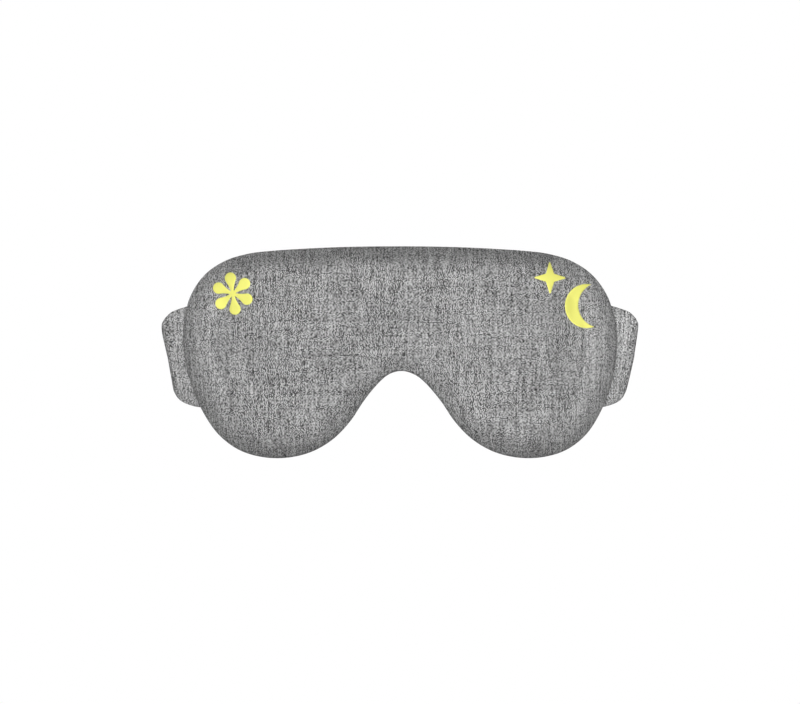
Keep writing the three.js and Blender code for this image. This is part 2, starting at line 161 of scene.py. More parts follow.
def capsules(points, tangents, normals, length, radius, sink=0.35, wobble=0.0):
    """Sewn stitches: short thread segments that dive into the cloth at both ends."""
    V, F, UV = [], [], []
    n_ring, n_seg = 8, 7
    for i, (p, t, n) in enumerate(zip(points, tangents, normals)):
        t = t / np.linalg.norm(t)
        n = n - t * np.dot(n, t)
        n = n / np.linalg.norm(n)
        b = np.cross(t, n)
        L = length * (1 + wobble * rng.uniform(-1, 1))
        turn = wobble * rng.uniform(-0.5, 0.5)
        t2 = t * math.cos(turn) + b * math.sin(turn)
        b2 = np.cross(t2, n)
        base = len(V)
        for s in range(n_seg):
            u = -1 + 2 * s / (n_seg - 1)
            r = radius * (0.55 + 0.45 * math.sqrt(max(0.0, 1 - u ** 4)))
            h = radius * (0.75 - 1.7 * u * u * (0.6 + sink))
            c = p + t2 * (u * L / 2) + n * h
            for k in range(n_ring):
                a = 2 * math.pi * k / n_ring
                V.append(c + r * (math.cos(a) * b2 + math.sin(a) * n))
                UV.append((u * L / 2 + i * 3.7, a * r))
        for s in range(n_seg - 1):
            for k in range(n_ring):
                a0, a1 = base + s * n_ring + k, base + s * n_ring + (k + 1) % n_ring
                F.append([a0, a1, a1 + n_ring, a0 + n_ring])
        F.append([base + k for k in range(n_ring)][::-1])
        F.append([base + (n_seg - 1) * n_ring + k for k in range(n_ring)])
    V = np.array(V)
    one = [f for f in F[: (n_seg - 1) * n_ring + 2]]
    flip = outward(V, one) is not one
    if flip:
        F = [list(reversed(f)) for f in F]
    return V, F, np.array(UV)


# ---------------------------------------------------------------- materials
class Nodes:
    """A short way to write shader nodes."""

    def __init__(self, name):
        self.mat = bpy.data.materials.new(name)
        self.mat.use_nodes = True
        self.t = self.mat.node_tree
        self.t.nodes.clear()
        self.out = self.t.nodes.new("ShaderNodeOutputMaterial")
        self.bsdf = self.t.nodes.new("ShaderNodeBsdfPrincipled")
        self.t.links.new(self.bsdf.outputs[0], self.out.inputs[0])

    def put(self, socket, value):
        if isinstance(value, (int, float)):
            socket.default_value = value
        elif isinstance(value, (tuple, list)):
            socket.default_value = value
        else:
            self.t.links.new(value, socket)

    def math(self, op, a, b=None, c=None, clamp=False):
        n = self.t.nodes.new("ShaderNodeMath")
        n.operation = op
        n.use_clamp = clamp
        for s, v in zip(n.inputs, (a, b, c)):
            if v is not None:
                self.put(s, v)
        return n.outputs[0]

    def xyz(self, x, y, z=0.0):
        n = self.t.nodes.new("ShaderNodeCombineXYZ")
        for s, v in zip(n.inputs, (x, y, z)):
            self.put(s, v)
        return n.outputs[0]

    def split(self, vec):
        n = self.t.nodes.new("ShaderNodeSeparateXYZ")
        self.put(n.inputs[0], vec)
        return n.outputs

    def uv(self):
        n = self.t.nodes.new("ShaderNodeUVMap")
        n.uv_map = "weave"
        return n.outputs[0]

    def position(self):
        n = self.t.nodes.new("ShaderNodeTexCoord")
        return n.outputs["Object"]

    def noise(self, vec, scale, detail=2.0, rough=0.5, distortion=0.0):
        n = self.t.nodes.new("ShaderNodeTexNoise")
        n.noise_dimensions = "3D"
        self.put(n.inputs["Vector"], vec)
        n.inputs["Scale"].default_value = scale
        n.inputs["Detail"].default_value = detail
        n.inputs["Roughness"].default_value = rough
        n.inputs["Distortion"].default_value = distortion
        return n.outputs[0]

    def white(self, vec):
        n = self.t.nodes.new("ShaderNodeTexWhiteNoise")
        n.noise_dimensions = "3D"
        self.put(n.inputs["Vector"], vec)
        return n.outputs["Value"]

    def voronoi(self, vec, scale, out="Distance", randomness=1.0):
        n = self.t.nodes.new("ShaderNodeTexVoronoi")
        self.put(n.inputs["Vector"], vec)
        n.inputs["Scale"].default_value = scale
        n.inputs["Randomness"].default_value = randomness
        return n.outputs[out]

    def ramp(self, fac, stops, mode="LINEAR"):
        n = self.t.nodes.new("ShaderNodeValToRGB")
        n.color_ramp.interpolation = mode
        el = n.color_ramp.elements
        while len(el) < len(stops):
            el.new(0.5)
        for e, (p, c) in zip(el, stops):
            e.position = p
            e.color = (*c, 1) if len(c) == 3 else c
        self.put(n.inputs[0], fac)
        return n.outputs[0]

    def mix(self, fac, a, b, blend="MIX"):
        n = self.t.nodes.new("ShaderNodeMix")
        n.data_type = "RGBA"
        n.blend_type = blend
        self.put(n.inputs[0], fac)
        self.put(n.inputs[6], a)
        self.put(n.inputs[7], b)
        return n.outputs[2]

    def bump(self, height, strength, distance):
        n = self.t.nodes.new("ShaderNodeBump")
        n.inputs["Strength"].default_value = strength
        n.inputs["Distance"].default_value = distance
        self.put(n.inputs["Height"], height)
        return n.outputs[0]

    def set(self, **values):
        for k, v in values.items():
            name = k.replace("_", " ")
            self.put(self.bsdf.inputs[name], v)
        return self


def lin(*c):
    return tuple(((x / 255 + 0.055) / 1.055) ** 2.4 if x / 255 > 0.04045 else x / 255 / 12.92 for x in c)


def heather(name, tone=1.0, turn=False, seed=0.0, right=0.0, ends=0.0):
    """Melange plain weave: grey warp and weft yarns of mixed dye, long vertical slubs, and a soft fuzz, with painted
    light that makes it lighter towards the right, and on the right half and towards both ends where asked.
    """
    m = Nodes(name)
    uv = m.split(m.uv())
    u, v = (uv[1], uv[0]) if turn else (uv[0], uv[1])
    painted_right_light = m.math("MULTIPLY", m.math("GREATER_THAN", u, 0.0), right)  # painted light: the right half is painted lighter, as if more light fell on that side
    painted_end_light = m.math("DIVIDE", m.math("SUBTRACT", m.math("ABSOLUTE", u), 66.0), 27.0, clamp=True)  # painted light: the cloth is painted paler towards both ends, a tenth more at the right end, to cancel the shade the mask's curve brings there
    painted_end_light = m.math("MULTIPLY", m.math("MULTIPLY", painted_end_light, painted_end_light), m.math("SUBTRACT", 3.0, m.math("MULTIPLY", painted_end_light, 2.0)))
    painted_end_light = m.math("MULTIPLY", painted_end_light, m.math("ADD", 1.0, m.math("MULTIPLY", m.math("GREATER_THAN", u, 0.0), 0.10)))
    u = m.math("ADD", u, seed)
    # the yarns wander a little, so no line is ruler straight
    w1 = m.noise(m.xyz(m.math("MULTIPLY", u, 0.06), m.math("MULTIPLY", v, 0.05), 3.1), 1.0, 1)
    w2 = m.noise(m.xyz(m.math("MULTIPLY", u, 0.05), m.math("MULTIPLY", v, 0.06), 7.7), 1.0, 1)
    uu = m.math("ADD", u, m.math("MULTIPLY", m.math("SUBTRACT", w1, 0.5), 0.8))
    vv = m.math("ADD", v, m.math("MULTIPLY", m.math("SUBTRACT", w2, 0.5), 0.8))
    # and their edges are frayed by loose fibres
    uu = m.math("ADD", uu, m.math("MULTIPLY", m.math("SUBTRACT", m.noise(m.xyz(u, v, 21.0), 3.4, 2, 0.6), 0.5), 0.14))
    vv = m.math("ADD", vv, m.math("MULTIPLY", m.math("SUBTRACT", m.noise(m.xyz(u, v, 33.0), 3.4, 2, 0.6), 0.5), 0.30))
    pitch_u, pitch_v = 0.50, 0.54
    cu = m.math("DIVIDE", uu, pitch_u)
    cv = m.math("DIVIDE", vv, pitch_v)
    iu, iv = m.math("FLOOR", cu), m.math("FLOOR", cv)
    fu, fv = m.math("SUBTRACT", cu, iu), m.math("SUBTRACT", cv, iv)
    # each warp yarn has its own tone, changing every few millimetres along it
    start = m.math("MULTIPLY", m.white(m.xyz(iu, 1.7, 0.0)), 9.0)
    seg = m.math("FLOOR", m.math("ADD", m.math("DIVIDE", vv, 9.0), start))
    warp_tone = m.white(m.xyz(iu, seg, 5.0))
    weft_start = m.math("MULTIPLY", m.white(m.xyz(iv, 4.2, 8.0)), 9.0)
    weft_seg = m.math("FLOOR", m.math("ADD", m.math("DIVIDE", uu, 13.0), weft_start))
    weft_tone = m.white(m.xyz(weft_seg, iv, 11.0))
    # slubs: now and then a dark, thicker yarn runs for a few centimetres
    warp_slub = m.white(m.xyz(m.math("FLOOR", m.math("DIVIDE", uu, 0.84)),
                              m.math("FLOOR", m.math("ADD", m.math("DIVIDE", vv, 17.0), m.math("MULTIPLY", start, 3.0))), 2.0))
    weft_slub = m.white(m.xyz(m.math("FLOOR", m.math("ADD", m.math("DIVIDE", uu, 24.0), m.math("MULTIPLY", weft_start, 3.0))),
                              m.math("FLOOR", m.math("DIVIDE", vv, 1.12)), 21.0))
    dark_v = m.math("GREATER_THAN", warp_slub, 0.90)
    dark_h = m.math("GREATER_THAN", weft_slub, 0.93)
    # over and under: a warp yarn shows on even cells, a weft yarn on odd ones
    odd = m.math("PINGPONG", m.math("ADD", iu, iv), 1.0)
    # neighbouring crossings differ more than chance would have it, which keeps the grain crisp
    beside = m.math("ADD", m.white(m.xyz(m.math("ADD", iu, 1.0), iv, 13.0)), m.white(m.xyz(m.math("SUBTRACT", iu, 1.0), iv, 13.0)))
    above = m.math("ADD", m.white(m.xyz(iu, m.math("ADD", iv, 1.0), 13.0)), m.white(m.xyz(iu, m.math("SUBTRACT", iv, 1.0), 13.0)))
    cell = m.math("SUBTRACT", m.white(m.xyz(iu, iv, 13.0)), m.math("MULTIPLY", m.math("SUBTRACT", beside, 1.0), 0.12))
    cell = m.math("SUBTRACT", cell, m.math("MULTIPLY", m.math("SUBTRACT", above, 1.0), 0.05))
    fine = m.noise(m.xyz(m.math("MULTIPLY", uu, 3.6), m.math("MULTIPLY", vv, 3.0), 1.0), 1.0, 1, 0.6)
    cloud = m.noise(m.xyz(m.math("MULTIPLY", uu, 0.055), m.math("MULTIPLY", vv, 0.04), 9.0), 1.0, 3, 0.6)
    streak = m.noise(m.xyz(m.math("MULTIPLY", uu, 0.55), m.math("MULTIPLY", vv, 0.035), 4.0), 1.0, 3, 0.6)
    lengthwise = m.noise(m.xyz(m.math("MULTIPLY", u, 11.0), m.math("MULTIPLY", v, 1.6), 41.0), 1.0, 1)
    crosswise = m.noise(m.xyz(m.math("MULTIPLY", u, 1.6), m.math("MULTIPLY", v, 11.0), 43.0), 1.0, 1)
    fibre = m.math("ADD", m.math("MULTIPLY", lengthwise, m.math("SUBTRACT", 1.0, odd)), m.math("MULTIPLY", crosswise, odd))
    bar = m.noise(m.xyz(m.math("MULTIPLY", uu, 0.03), m.math("MULTIPLY", vv, 0.40), 14.0), 1.0, 3, 0.6)
    yarn = m.math("ADD", m.math("MULTIPLY", warp_tone, m.math("SUBTRACT", 1.0, m.math("MULTIPLY", odd, 0.6))),
                  m.math("MULTIPLY", weft_tone, m.math("MULTIPLY", odd, 0.6)))
    t = m.math("MULTIPLY", m.math("SUBTRACT", yarn, 0.5), 0.95)
    t = m.math("ADD", t, m.math("MULTIPLY", m.math("SUBTRACT", cell, 0.5), 2.0))
    t = m.math("ADD", t, m.math("MULTIPLY", m.math("SUBTRACT", fine, 0.5), 0.5))
    t = m.math("ADD", t, m.math("MULTIPLY", m.math("SUBTRACT", streak, 0.5), 0.32))
    t = m.math("ADD", t, m.math("MULTIPLY", m.math("SUBTRACT", bar, 0.5), 0.5))
    t = m.math("ADD", t, m.math("MULTIPLY", m.math("SUBTRACT", cloud, 0.5), 0.08))
    t = m.math("SUBTRACT", t, m.math("MULTIPLY", dark_v, 0.16))
    t = m.math("SUBTRACT", t, m.math("MULTIPLY", dark_h, 0.20))
    # roundness of the yarn that is on top in each cell
    ru = m.math("SUBTRACT", 1.0, m.math("POWER", m.math("ABSOLUTE", m.math("SUBTRACT", m.math("MULTIPLY", fu, 2.0), 1.0)), 2.2))
    rv = m.math("SUBTRACT", 1.0, m.math("POWER", m.math("ABSOLUTE", m.math("SUBTRACT", m.math("MULTIPLY", fv, 2.0), 1.0)), 2.2))
    height = m.math("MULTIPLY", m.math("POWER", ru, 0.8), m.math("POWER", rv, 0.8))
    # painted shade: each weave cell is painted darker towards its edges, where the yarns dip under each other, as shade
    # between the yarns
    t = m.math("ADD", t, m.math("MULTIPLY", m.math("SUBTRACT", height, 0.55), 0.55))
    t = m.math("ADD", t, m.math("MULTIPLY", m.math("SUBTRACT", fibre, 0.5), 0.9))
    # painted light: the cloth is painted slowly lighter from left to right, as light falling from the right would make
    # it
    t = m.math("ADD", t, m.math("MULTIPLY", m.math("MAXIMUM", m.math("MINIMUM", u, 120.0), -120.0), 0.0006))
    t = m.math("ADD", t, m.math("MULTIPLY", painted_end_light, ends))
    value = m.math("MULTIPLY", m.math("ADD", 1.02, t), m.math("MULTIPLY", m.math("ADD", 1.0, painted_right_light), 0.30 * tone))
    value = m.math("MAXIMUM", value, 0.035)
    n = m.t.nodes.new("ShaderNodeCombineColor")
    for k in range(3):
        m.put(n.inputs[k], value)
    h = m.math("ADD", m.math("MULTIPLY", height, 0.8), m.math("MULTIPLY", fine, 0.5))
    h = m.math("ADD", h, m.math("ADD", m.math("MULTIPLY", cell, 0.25), m.math("MULTIPLY", fibre, 0.35)))
    m.set(Base_Color=n.outputs[0], Roughness=0.93, Specular_IOR_Level=0.18, Sheen_Weight=0.05,
          Sheen_Roughness=0.5, Normal=m.bump(h, 0.5, 0.0002))
    return m.mat


def yellow_film():
    """Soft pale yellow transfer film, with the cloth's weave just telling through, and a faint painted glow that keeps
    its yellow flat under any shading.
    """
    m = Nodes("yellow_print")
    uv = m.split(m.uv())
    u, v = uv[0], uv[1]
    wu = m.math("SINE", m.math("MULTIPLY", u, 2 * math.pi / 0.62))
    wv = m.math("SINE", m.math("MULTIPLY", v, 2 * math.pi / 0.70))
    grain = m.noise(m.xyz(u, v, 2.0), 1.6, 3, 0.6)
    tint = m.noise(m.xyz(u, v, 6.0), 0.12, 2)
    base = m.mix(tint, (*lin(229, 228, 113), 1), (*lin(233, 231, 124), 1))
    base = m.mix(m.math("MULTIPLY", grain, 0.05), base, (*lin(214, 211, 100), 1))
    h = m.math("ADD", m.math("MULTIPLY", m.math("MULTIPLY", wu, wv), 0.5), grain)
    # painted light: the film glows faintly (emission 0.20) though it is no lamp, to keep its yellow flat and bright
    m.set(Base_Color=base, Roughness=m.math("ADD", 0.55, m.math("MULTIPLY", grain, 0.12)), Specular_IOR_Level=0.3,
          Emission_Color=(*lin(243, 241, 126), 1), Emission_Strength=0.20, Normal=m.bump(h, 0.25, 0.00008))
    return m.mat


def jersey(name, color, scale=1.0, fuzz=0.25):
    """Brushed knit: small wales and courses under a soft nap."""
    m = Nodes(name)
    uv = m.split(m.uv())
    u, v = uv[0], uv[1]
    du = m.noise(m.xyz(u, v, 1.0), 0.35, 2)
    uu = m.math("ADD", u, m.math("MULTIPLY", m.math("SUBTRACT", du, 0.5), 0.8))
    wale = m.math("SINE", m.math("MULTIPLY", uu, 2 * math.pi / (0.9 * scale)))
    slope = m.math("MULTIPLY", m.math("ABSOLUTE", wale), 0.5)
    course = m.math("SINE", m.math("MULTIPLY", m.math("ADD", v, slope), 2 * math.pi / (0.7 * scale)))
    nap = m.noise(m.xyz(u, v, 5.0), 2.4, 4, 0.65)
    cloud = m.noise(m.xyz(u, v, 8.0), 0.06, 3)
    k = m.math("ADD", m.math("MULTIPLY", m.math("SUBTRACT", nap, 0.5), 0.9), m.math("MULTIPLY", m.math("SUBTRACT", cloud, 0.5), 0.5))
    k = m.math("ADD", k, m.math("MULTIPLY", course, 0.10))
    k = m.math("ADD", k, m.math("MULTIPLY", wale, 0.10))
    c = [m.math("MULTIPLY", m.math("ADD", 1.0, k), x) for x in color]
    n = m.t.nodes.new("ShaderNodeCombineColor")
    for s, x in zip(n.inputs, c):
        m.put(s, x)
    h = m.math("ADD", m.math("MULTIPLY", m.math("ADD", wale, course), 0.25), nap)
    m.set(Base_Color=n.outputs[0], Roughness=0.95, Specular_IOR_Level=0.15, Sheen_Weight=fuzz, Sheen_Roughness=0.45,
          Normal=m.bump(h, 0.6, 0.00025))
    return m.mat


def foam_material():
    m = Nodes("foam")
    p = m.position()
    cells = m.voronoi(p, 900, "Distance")
    big = m.voronoi(p, 380, "Distance")
    age = m.noise(p, 30, 3)
    base = m.mix(age, (0.72, 0.68, 0.58, 1), (0.62, 0.57, 0.45, 1))
    base = m.mix(m.math("MULTIPLY", cells, 0.5), base, (0.35, 0.32, 0.26, 1))
    m.set(Base_Color=base, Roughness=0.95, Specular_IOR_Level=0.1,
          Normal=m.bump(m.math("ADD", cells, m.math("MULTIPLY", big, 0.6)), 0.7, 0.0006))
    return m.mat


def film_material():
    m = Nodes("blackout_film")
    p = m.position()
    n = m.noise(p, 600, 3)
    wide = m.noise(p, 60, 2)
    m.set(Base_Color=m.mix(n, (0.010, 0.010, 0.012, 1), (0.022, 0.022, 0.025, 1)),
          Roughness=m.math("ADD", 0.55, m.math("MULTIPLY", wide, 0.25)), Normal=m.bump(n, 0.4, 0.0002))
    return m.mat


def thread_material(name, color, shine=0.3):
    """Twisted sewing thread."""
    m = Nodes(name)
    uv = m.split(m.uv())
    ply = m.math("SINE", m.math("MULTIPLY", m.math("ADD", uv[0], m.math("MULTIPLY", uv[1], 1.2)), 2 * math.pi / 0.42))
    tone = m.noise(m.xyz(uv[0], uv[1], 0.0), 0.8, 2)
    base = m.mix(tone, (*[c * 0.82 for c in color], 1), (*[min(1, c * 1.15) for c in color], 1))
    m.set(Base_Color=base, Roughness=0.6, Specular_IOR_Level=shine, Sheen_Weight=0.1,
          Normal=m.bump(ply, 0.5, 0.00008))
    return m.mat


def elastic_material():
    """Knitted elastic: ribs across, rubber and cover yarns along."""
    m = Nodes("elastic_webbing")
    uv = m.split(m.uv())
    u, v = uv[0], uv[1]
    rib = m.math("SINE", m.math("MULTIPLY", u, 2 * math.pi / 1.9))
    cord = m.math("SINE", m.math("MULTIPLY", v, 2 * math.pi / 1.3))
    pick = m.math("SINE", m.math("MULTIPLY", u, 2 * math.pi / 0.63))
    n = m.noise(m.xyz(u, v, 3.0), 2.2, 3, 0.6)
    cell = m.white(m.xyz(m.math("FLOOR", m.math("DIVIDE", u, 0.63)), m.math("FLOOR", m.math("DIVIDE", v, 0.65)), 1.0))
    k = m.math("ADD", m.math("MULTIPLY", rib, 0.10), m.math("MULTIPLY", cord, 0.22))
    k = m.math("ADD", k, m.math("MULTIPLY", m.math("SUBTRACT", n, 0.5), 0.5))
    k = m.math("ADD", k, m.math("MULTIPLY", m.math("SUBTRACT", cell, 0.5), 0.35))
    c = [m.math("MULTIPLY", m.math("ADD", 1.0, k), x) for x in (0.050, 0.051, 0.056)]
    nn = m.t.nodes.new("ShaderNodeCombineColor")
    for s, x in zip(nn.inputs, c):
        m.put(s, x)
    h = m.math("ADD", m.math("MULTIPLY", cord, 0.7), m.math("MULTIPLY", pick, 0.35))
    h = m.math("ADD", h, m.math("MULTIPLY", n, 0.4))
    m.set(Base_Color=nn.outputs[0], Roughness=0.78, Specular_IOR_Level=0.3, Sheen_Weight=0.12, Normal=m.bump(h, 0.6, 0.0002))
    return m.mat


def loop_material():
    m = Nodes("loop_fleece")
    uv = m.uv()
    vor = m.voronoi(uv, 1.3, "Distance")
    fib = m.noise(uv, 3.2, 5, 0.7, 1.5)
    cloud = m.noise(uv, 0.15, 2)
    k = m.math("ADD", m.math("MULTIPLY", vor, 0.7), m.math("MULTIPLY", fib, 1.0))
    base = m.ramp(m.math("MULTIPLY", m.math("ADD", k, m.math("MULTIPLY", cloud, 0.3)), 0.6),
                  [(0.0, (0.012, 0.012, 0.014)), (0.55, (0.032, 0.032, 0.035)), (1.0, (0.085, 0.085, 0.09))])
    m.set(Base_Color=base, Roughness=0.9, Specular_IOR_Level=0.2, Sheen_Weight=0.35, Sheen_Roughness=0.35,
          Normal=m.bump(k, 1.0, 0.0006))
    return m.mat


def hook_material():
    m = Nodes("hook_tape")
    uv = m.split(m.uv())
    u, v = uv[0], uv[1]
    n = m.noise(m.xyz(u, v, 0.0), 1.0, 3)
    a = m.math("ABSOLUTE", m.math("SINE", m.math("MULTIPLY", u, math.pi / 1.2)))
    b = m.math("ABSOLUTE", m.math("SINE", m.math("MULTIPLY", v, math.pi / 1.0)))
    peg = m.math("MULTIPLY", a, b)
    base = m.mix(n, (0.010, 0.010, 0.011, 1), (0.024, 0.024, 0.026, 1))
    m.set(Base_Color=base, Roughness=0.42, Specular_IOR_Level=0.5, Normal=m.bump(m.math("ADD", peg, m.math("MULTIPLY", n, 0.3)), 0.5, 0.0003))
    return m.mat


def label_material():
    """Blank woven satin: fine ribs across."""
    m = Nodes("label_tape")
    uv = m.split(m.uv())
    u, v = uv[0], uv[1]
    rib = m.math("SINE", m.math("MULTIPLY", v, 2 * math.pi / 0.35))
    pick = m.math("SINE", m.math("MULTIPLY", u, 2 * math.pi / 0.5))
    n = m.noise(m.xyz(u, v, 0.0), 1.2, 3)
    base = m.mix(n, (0.70, 0.70, 0.68, 1), (0.82, 0.82, 0.80, 1))
    m.set(Base_Color=base, Roughness=0.45, Specular_IOR_Level=0.45, Sheen_Weight=0.1,
          Normal=m.bump(m.math("ADD", rib, m.math("MULTIPLY", pick, 0.5)), 0.4, 0.0001))
    return m.mat


# painted light: the body cloth is painted paler towards both ends of the mask
CLOTH = heather("heather_cloth", ends=0.17)
# painted light: the strap cloth is painted 3% darker than the body cloth and its right half 22% lighter, standing in
# for how the light falls on each strap
CLOTH_TURNED = heather("heather_cloth_strap", tone=0.97, turn=False, seed=431.0, right=0.22)
YELLOW = yellow_film()
LINING = jersey("lining_cloth", (0.040, 0.0415, 0.046))
FOAM = foam_material()
FILM = film_material()
THREAD = thread_material("thread", (0.22, 0.22, 0.225))
DARK_THREAD = thread_material("thread_dark", (0.03, 0.031, 0.034))
ELASTIC = elastic_material()
LOOP = loop_material()
HOOK = hook_material()
LABEL_MAT = label_material()


# ---------------------------------------------------------------- mask outline
def closed_curve(points, per=40):
    P = np.array(points, float)
    n = len(P)
    out = []
    for i in range(n):
        p0, p1, p2, p3 = P[i - 1], P[i], P[(i + 1) % n], P[(i + 2) % n]
        d0, d1, d2 = (math.sqrt(np.linalg.norm(b - a)) for a, b in ((p0, p1), (p1, p2), (p2, p3)))
        t1 = ((p1 - p0) / d0 - (p2 - p0) / (d0 + d1) + (p2 - p1) / d1) * d1
        t2 = ((p2 - p1) / d1 - (p3 - p1) / (d1 + d2) + (p3 - p2) / d2) * d1
        for k in range(per):
            t = k / per
            out.append(p1 + t1 * t + (-3 * p1 + 3 * p2 - 2 * t1 - t2) * t * t + (2 * p1 - 2 * p2 + t1 + t2) * t ** 3)
    return np.array(out)


full = OUTLINE + [[-x, z] for x, z in OUTLINE[1:-1][::-1]]
dense = closed_curve(full)
half = dense[: len(dense) // 2 + 1]
half_len = np.concatenate([[0], np.cumsum(np.linalg.norm(np.diff(half, axis=0), axis=1))])
tip = int(np.argmax(half[:, 0]))


def along_half(s):
    return np.array([np.interp(s, half_len, half[:, 0]), np.interp(s, half_len, half[:, 1])])


n2 = COLS // 2
s_top = [half_len[tip] * (k / n2) ** 1.05 for k in range(n2 + 1)]
s_low = [half_len[-1] - (half_len[-1] - half_len[tip]) * (k / n2) ** 1.18 for k in range(n2 + 1)]
top = [along_half(s) for s in s_top]
low = [along_half(s) for s in s_low]
top[0][0] = low[0][0] = 0
low[n2] = top[n2].copy()
RIM, RIM_S, RIM_SIDE = [], [], []
for k in range(COLS + 1):
    x, z = top[abs(k - n2)]
    RIM.append([-x if k < n2 else x, z])
    RIM_S.append(s_top[abs(k - n2)])
    RIM_SIDE.append(-1 if k < n2 else 1)
for k in range(COLS - 1, 0, -1):
    x, z = low[abs(k - n2)]
    RIM.append([-x if k < n2 else x, z])
    RIM_S.append(s_low[abs(k - n2)])
    RIM_SIDE.append(-1 if k < n2 else 1)
RIM, RIM_S = np.array(RIM), np.array(RIM_S)
NR = len(RIM)
RIM[:, 0] += SKEW * RIM[:, 1]
RIM[:, 0] += sum(e[3] * np.exp(-((RIM[:, 0] - e[0]) ** 2 + (RIM[:, 1] - e[1]) ** 2) / e[2] ** 2) for e in NOTCH_EASE)
tang = np.roll(RIM, -1, axis=0) - np.roll(RIM, 1, axis=0)
tang /= np.linalg.norm(tang, axis=1, keepdims=True)
INWARD = np.c_[tang[:, 1], -tang[:, 0]]


def sag(x):
    x = np.clip(np.abs(x), 0, FACE_R - 1)
    return FACE_R - np.sqrt(FACE_R ** 2 - x * x)


def cavity(x, z):
    r2 = ((np.abs(x) - EYE["x"]) / EYE["rx"]) ** 2 + ((z - EYE["z"]) / EYE["rz"]) ** 2
    return np.where(r2 < 1, EYE["depth"] * np.maximum(0, 1 - r2) ** 2, 0)


# How far the front turns towards the viewer, at insets from the outline, all round the half outline.
INSETS = [0, 0.35, 1.0, 2.5, 4.5, 7.0, 9.0, 11.5, 14.0, 16.0]
L = half_len
s_at = lambda x, z: float(L[np.argmin(np.hypot(half[:, 0] - x, half[:, 1] - z))])
FACING = [
    (s_at(0, 52.85), [0.10, 0.33, 0.42, 0.46, 0.49, 0.62, 0.77, 0.91, 0.98, 1]),
    (s_at(74.7, 49.45), [0.10, 0.33, 0.42, 0.46, 0.51, 0.66, 0.82, 0.94, 1, 1]),
    (s_at(97.2, 39), [0.10, 0.38, 0.55, 0.68, 0.77, 0.88, 0.95, 1, 1, 1]),
    (s_at(109, 6.6), [0.10, 0.40, 0.58, 0.70, 0.80, 0.91, 0.98, 1, 1, 1]),
    (s_at(99.35, -30.7), [0.10, 0.36, 0.50, 0.57, 0.65, 0.78, 0.89, 0.96, 0.99, 1]),
    (s_at(69.8, -52.3), [0.10, 0.34, 0.46, 0.54, 0.60, 0.70, 0.78, 0.88, 0.96, 1]),
    (s_at(45, -49.3), [0.10, 0.34, 0.46, 0.54, 0.60, 0.70, 0.79, 0.90, 0.97, 1]),
    (s_at(26.3, -34.4), [0.10, 0.36, 0.50, 0.60, 0.66, 0.76, 0.86, 0.95, 1, 1]),
    (s_at(13, -16.4), [0.10, 0.38, 0.56, 0.67, 0.74, 0.82, 0.91, 0.97, 1, 1]),
    (s_at(0, -9.2), [0.10, 0.42, 0.66, 0.78, 0.84, 0.88, 0.93, 0.97, 1, 1]),
]
F_S = np.array([f[0] for f in FACING])
F_V = np.array([f[1] for f in FACING])


def smooth_rows(table, rounds=14):
    for _ in range(rounds):
        table = 0.25 * np.roll(table, 1, axis=0) + 0.5 * table + 0.25 * np.roll(table, -1, axis=0)
    return table


facing = np.stack([np.interp(RIM_S, F_S, F_V[:, j]) for j in range(F_V.shape[1])], axis=1)
# the left pad rolls a little deeper into the nose notch than the right one
deeper = np.where(np.array(RIM_SIDE) < 0, 0.04 * np.exp(-((RIM_S - s_at(38, -46)) / 15.0) ** 2), 0)
facing[:, 2:9] *= 1 - deeper[:, None]
facing = smooth_rows(facing)
FINE_D = np.concatenate([np.linspace(0, 1, 41), np.linspace(1, 16, 301)[1:]])
PROFILE_D, PROFILE_H = [], []
FRONT_RINGS = 30
STRETCH = 0.5  # how much of the extra length round the rim comes from the cloth stretching
for i in range(NR):
    f = np.clip(np.interp(FINE_D, INSETS, facing[i]), 0.08, 1)
    slope = np.sqrt(1 / f ** 2 - 1)
    step = np.diff(FINE_D)
    mid = 0.5 * (slope[1:] + slope[:-1])
    depth = np.concatenate([[0], np.cumsum(mid * step)])
    arc = np.concatenate([[0], np.cumsum(np.hypot(step, mid * step))])
    share = np.linspace(0, 1, FRONT_RINGS + 1)
    PROFILE_D.append(np.interp(share * arc[-1], arc, FINE_D))
    PROFILE_H.append(np.interp(share * arc[-1], arc, depth))
PROFILE_D, PROFILE_H = np.array(PROFILE_D), np.array(PROFILE_H)
print("front depth", PROFILE_H[:, -1].min(), PROFILE_H[:, -1].max())
ARC = np.concatenate([np.zeros((NR, 1)), np.cumsum(np.hypot(np.diff(PROFILE_D, axis=1), np.diff(PROFILE_H, axis=1)), axis=1)], axis=1)

BUMPS = [(rng.uniform(12, 34), rng.uniform(0, 2 * math.pi), rng.uniform(0, 2 * math.pi), rng.uniform(0.3, 1)) for _ in range(14)]


def softness(x, z, amount=0.11):
    """The slow, shallow unevenness of a padded surface."""
    h = 0
    for wave, heading, phase, a in BUMPS:
        h = h + a * np.sin((x * math.cos(heading) + z * math.sin(heading)) * 2 * math.pi / wave + phase)
    return amount * h


def ring_xz(d):
    """Points at inset d (a number, or one per column) from the outline."""
    return RIM + INWARD * (np.asarray(d).reshape(-1, 1) if np.ndim(d) else d)


def cap_grid(ring_start, XZ, rows, base_count):
    """Faces and positions that fill a ring of 2 * COLS points in columns and rows."""
    grid = np.zeros((COLS + 1, rows + 1), int)
    new_xz, new_kf = [], []
    count = base_count
    for k in range(COLS + 1):
        for r in range(rows + 1):
            if k == 0:
                grid[k, r] = ring_start
            elif k == COLS:
                grid[k, r] = ring_start + COLS
            elif r == 0:
                grid[k, r] = ring_start + k
            elif r == rows:
                grid[k, r] = ring_start + 2 * COLS - k
            else:
                f = r / rows
                new_xz.append(XZ[k] * (1 - f) + XZ[2 * COLS - k] * f)
                new_kf.append((k, f))
                grid[k, r] = count
                count += 1
    faces = []
    for k in range(COLS):
        for r in range(rows):
            q = [grid[k, r], grid[k + 1, r], grid[k + 1, r + 1], grid[k, r + 1]]
            q = [int(a) for i, a in enumerate(q) if a != q[i - 1]]
            if len(q) >= 3:
                faces.append(q)
    return np.array(new_xz), new_kf, faces


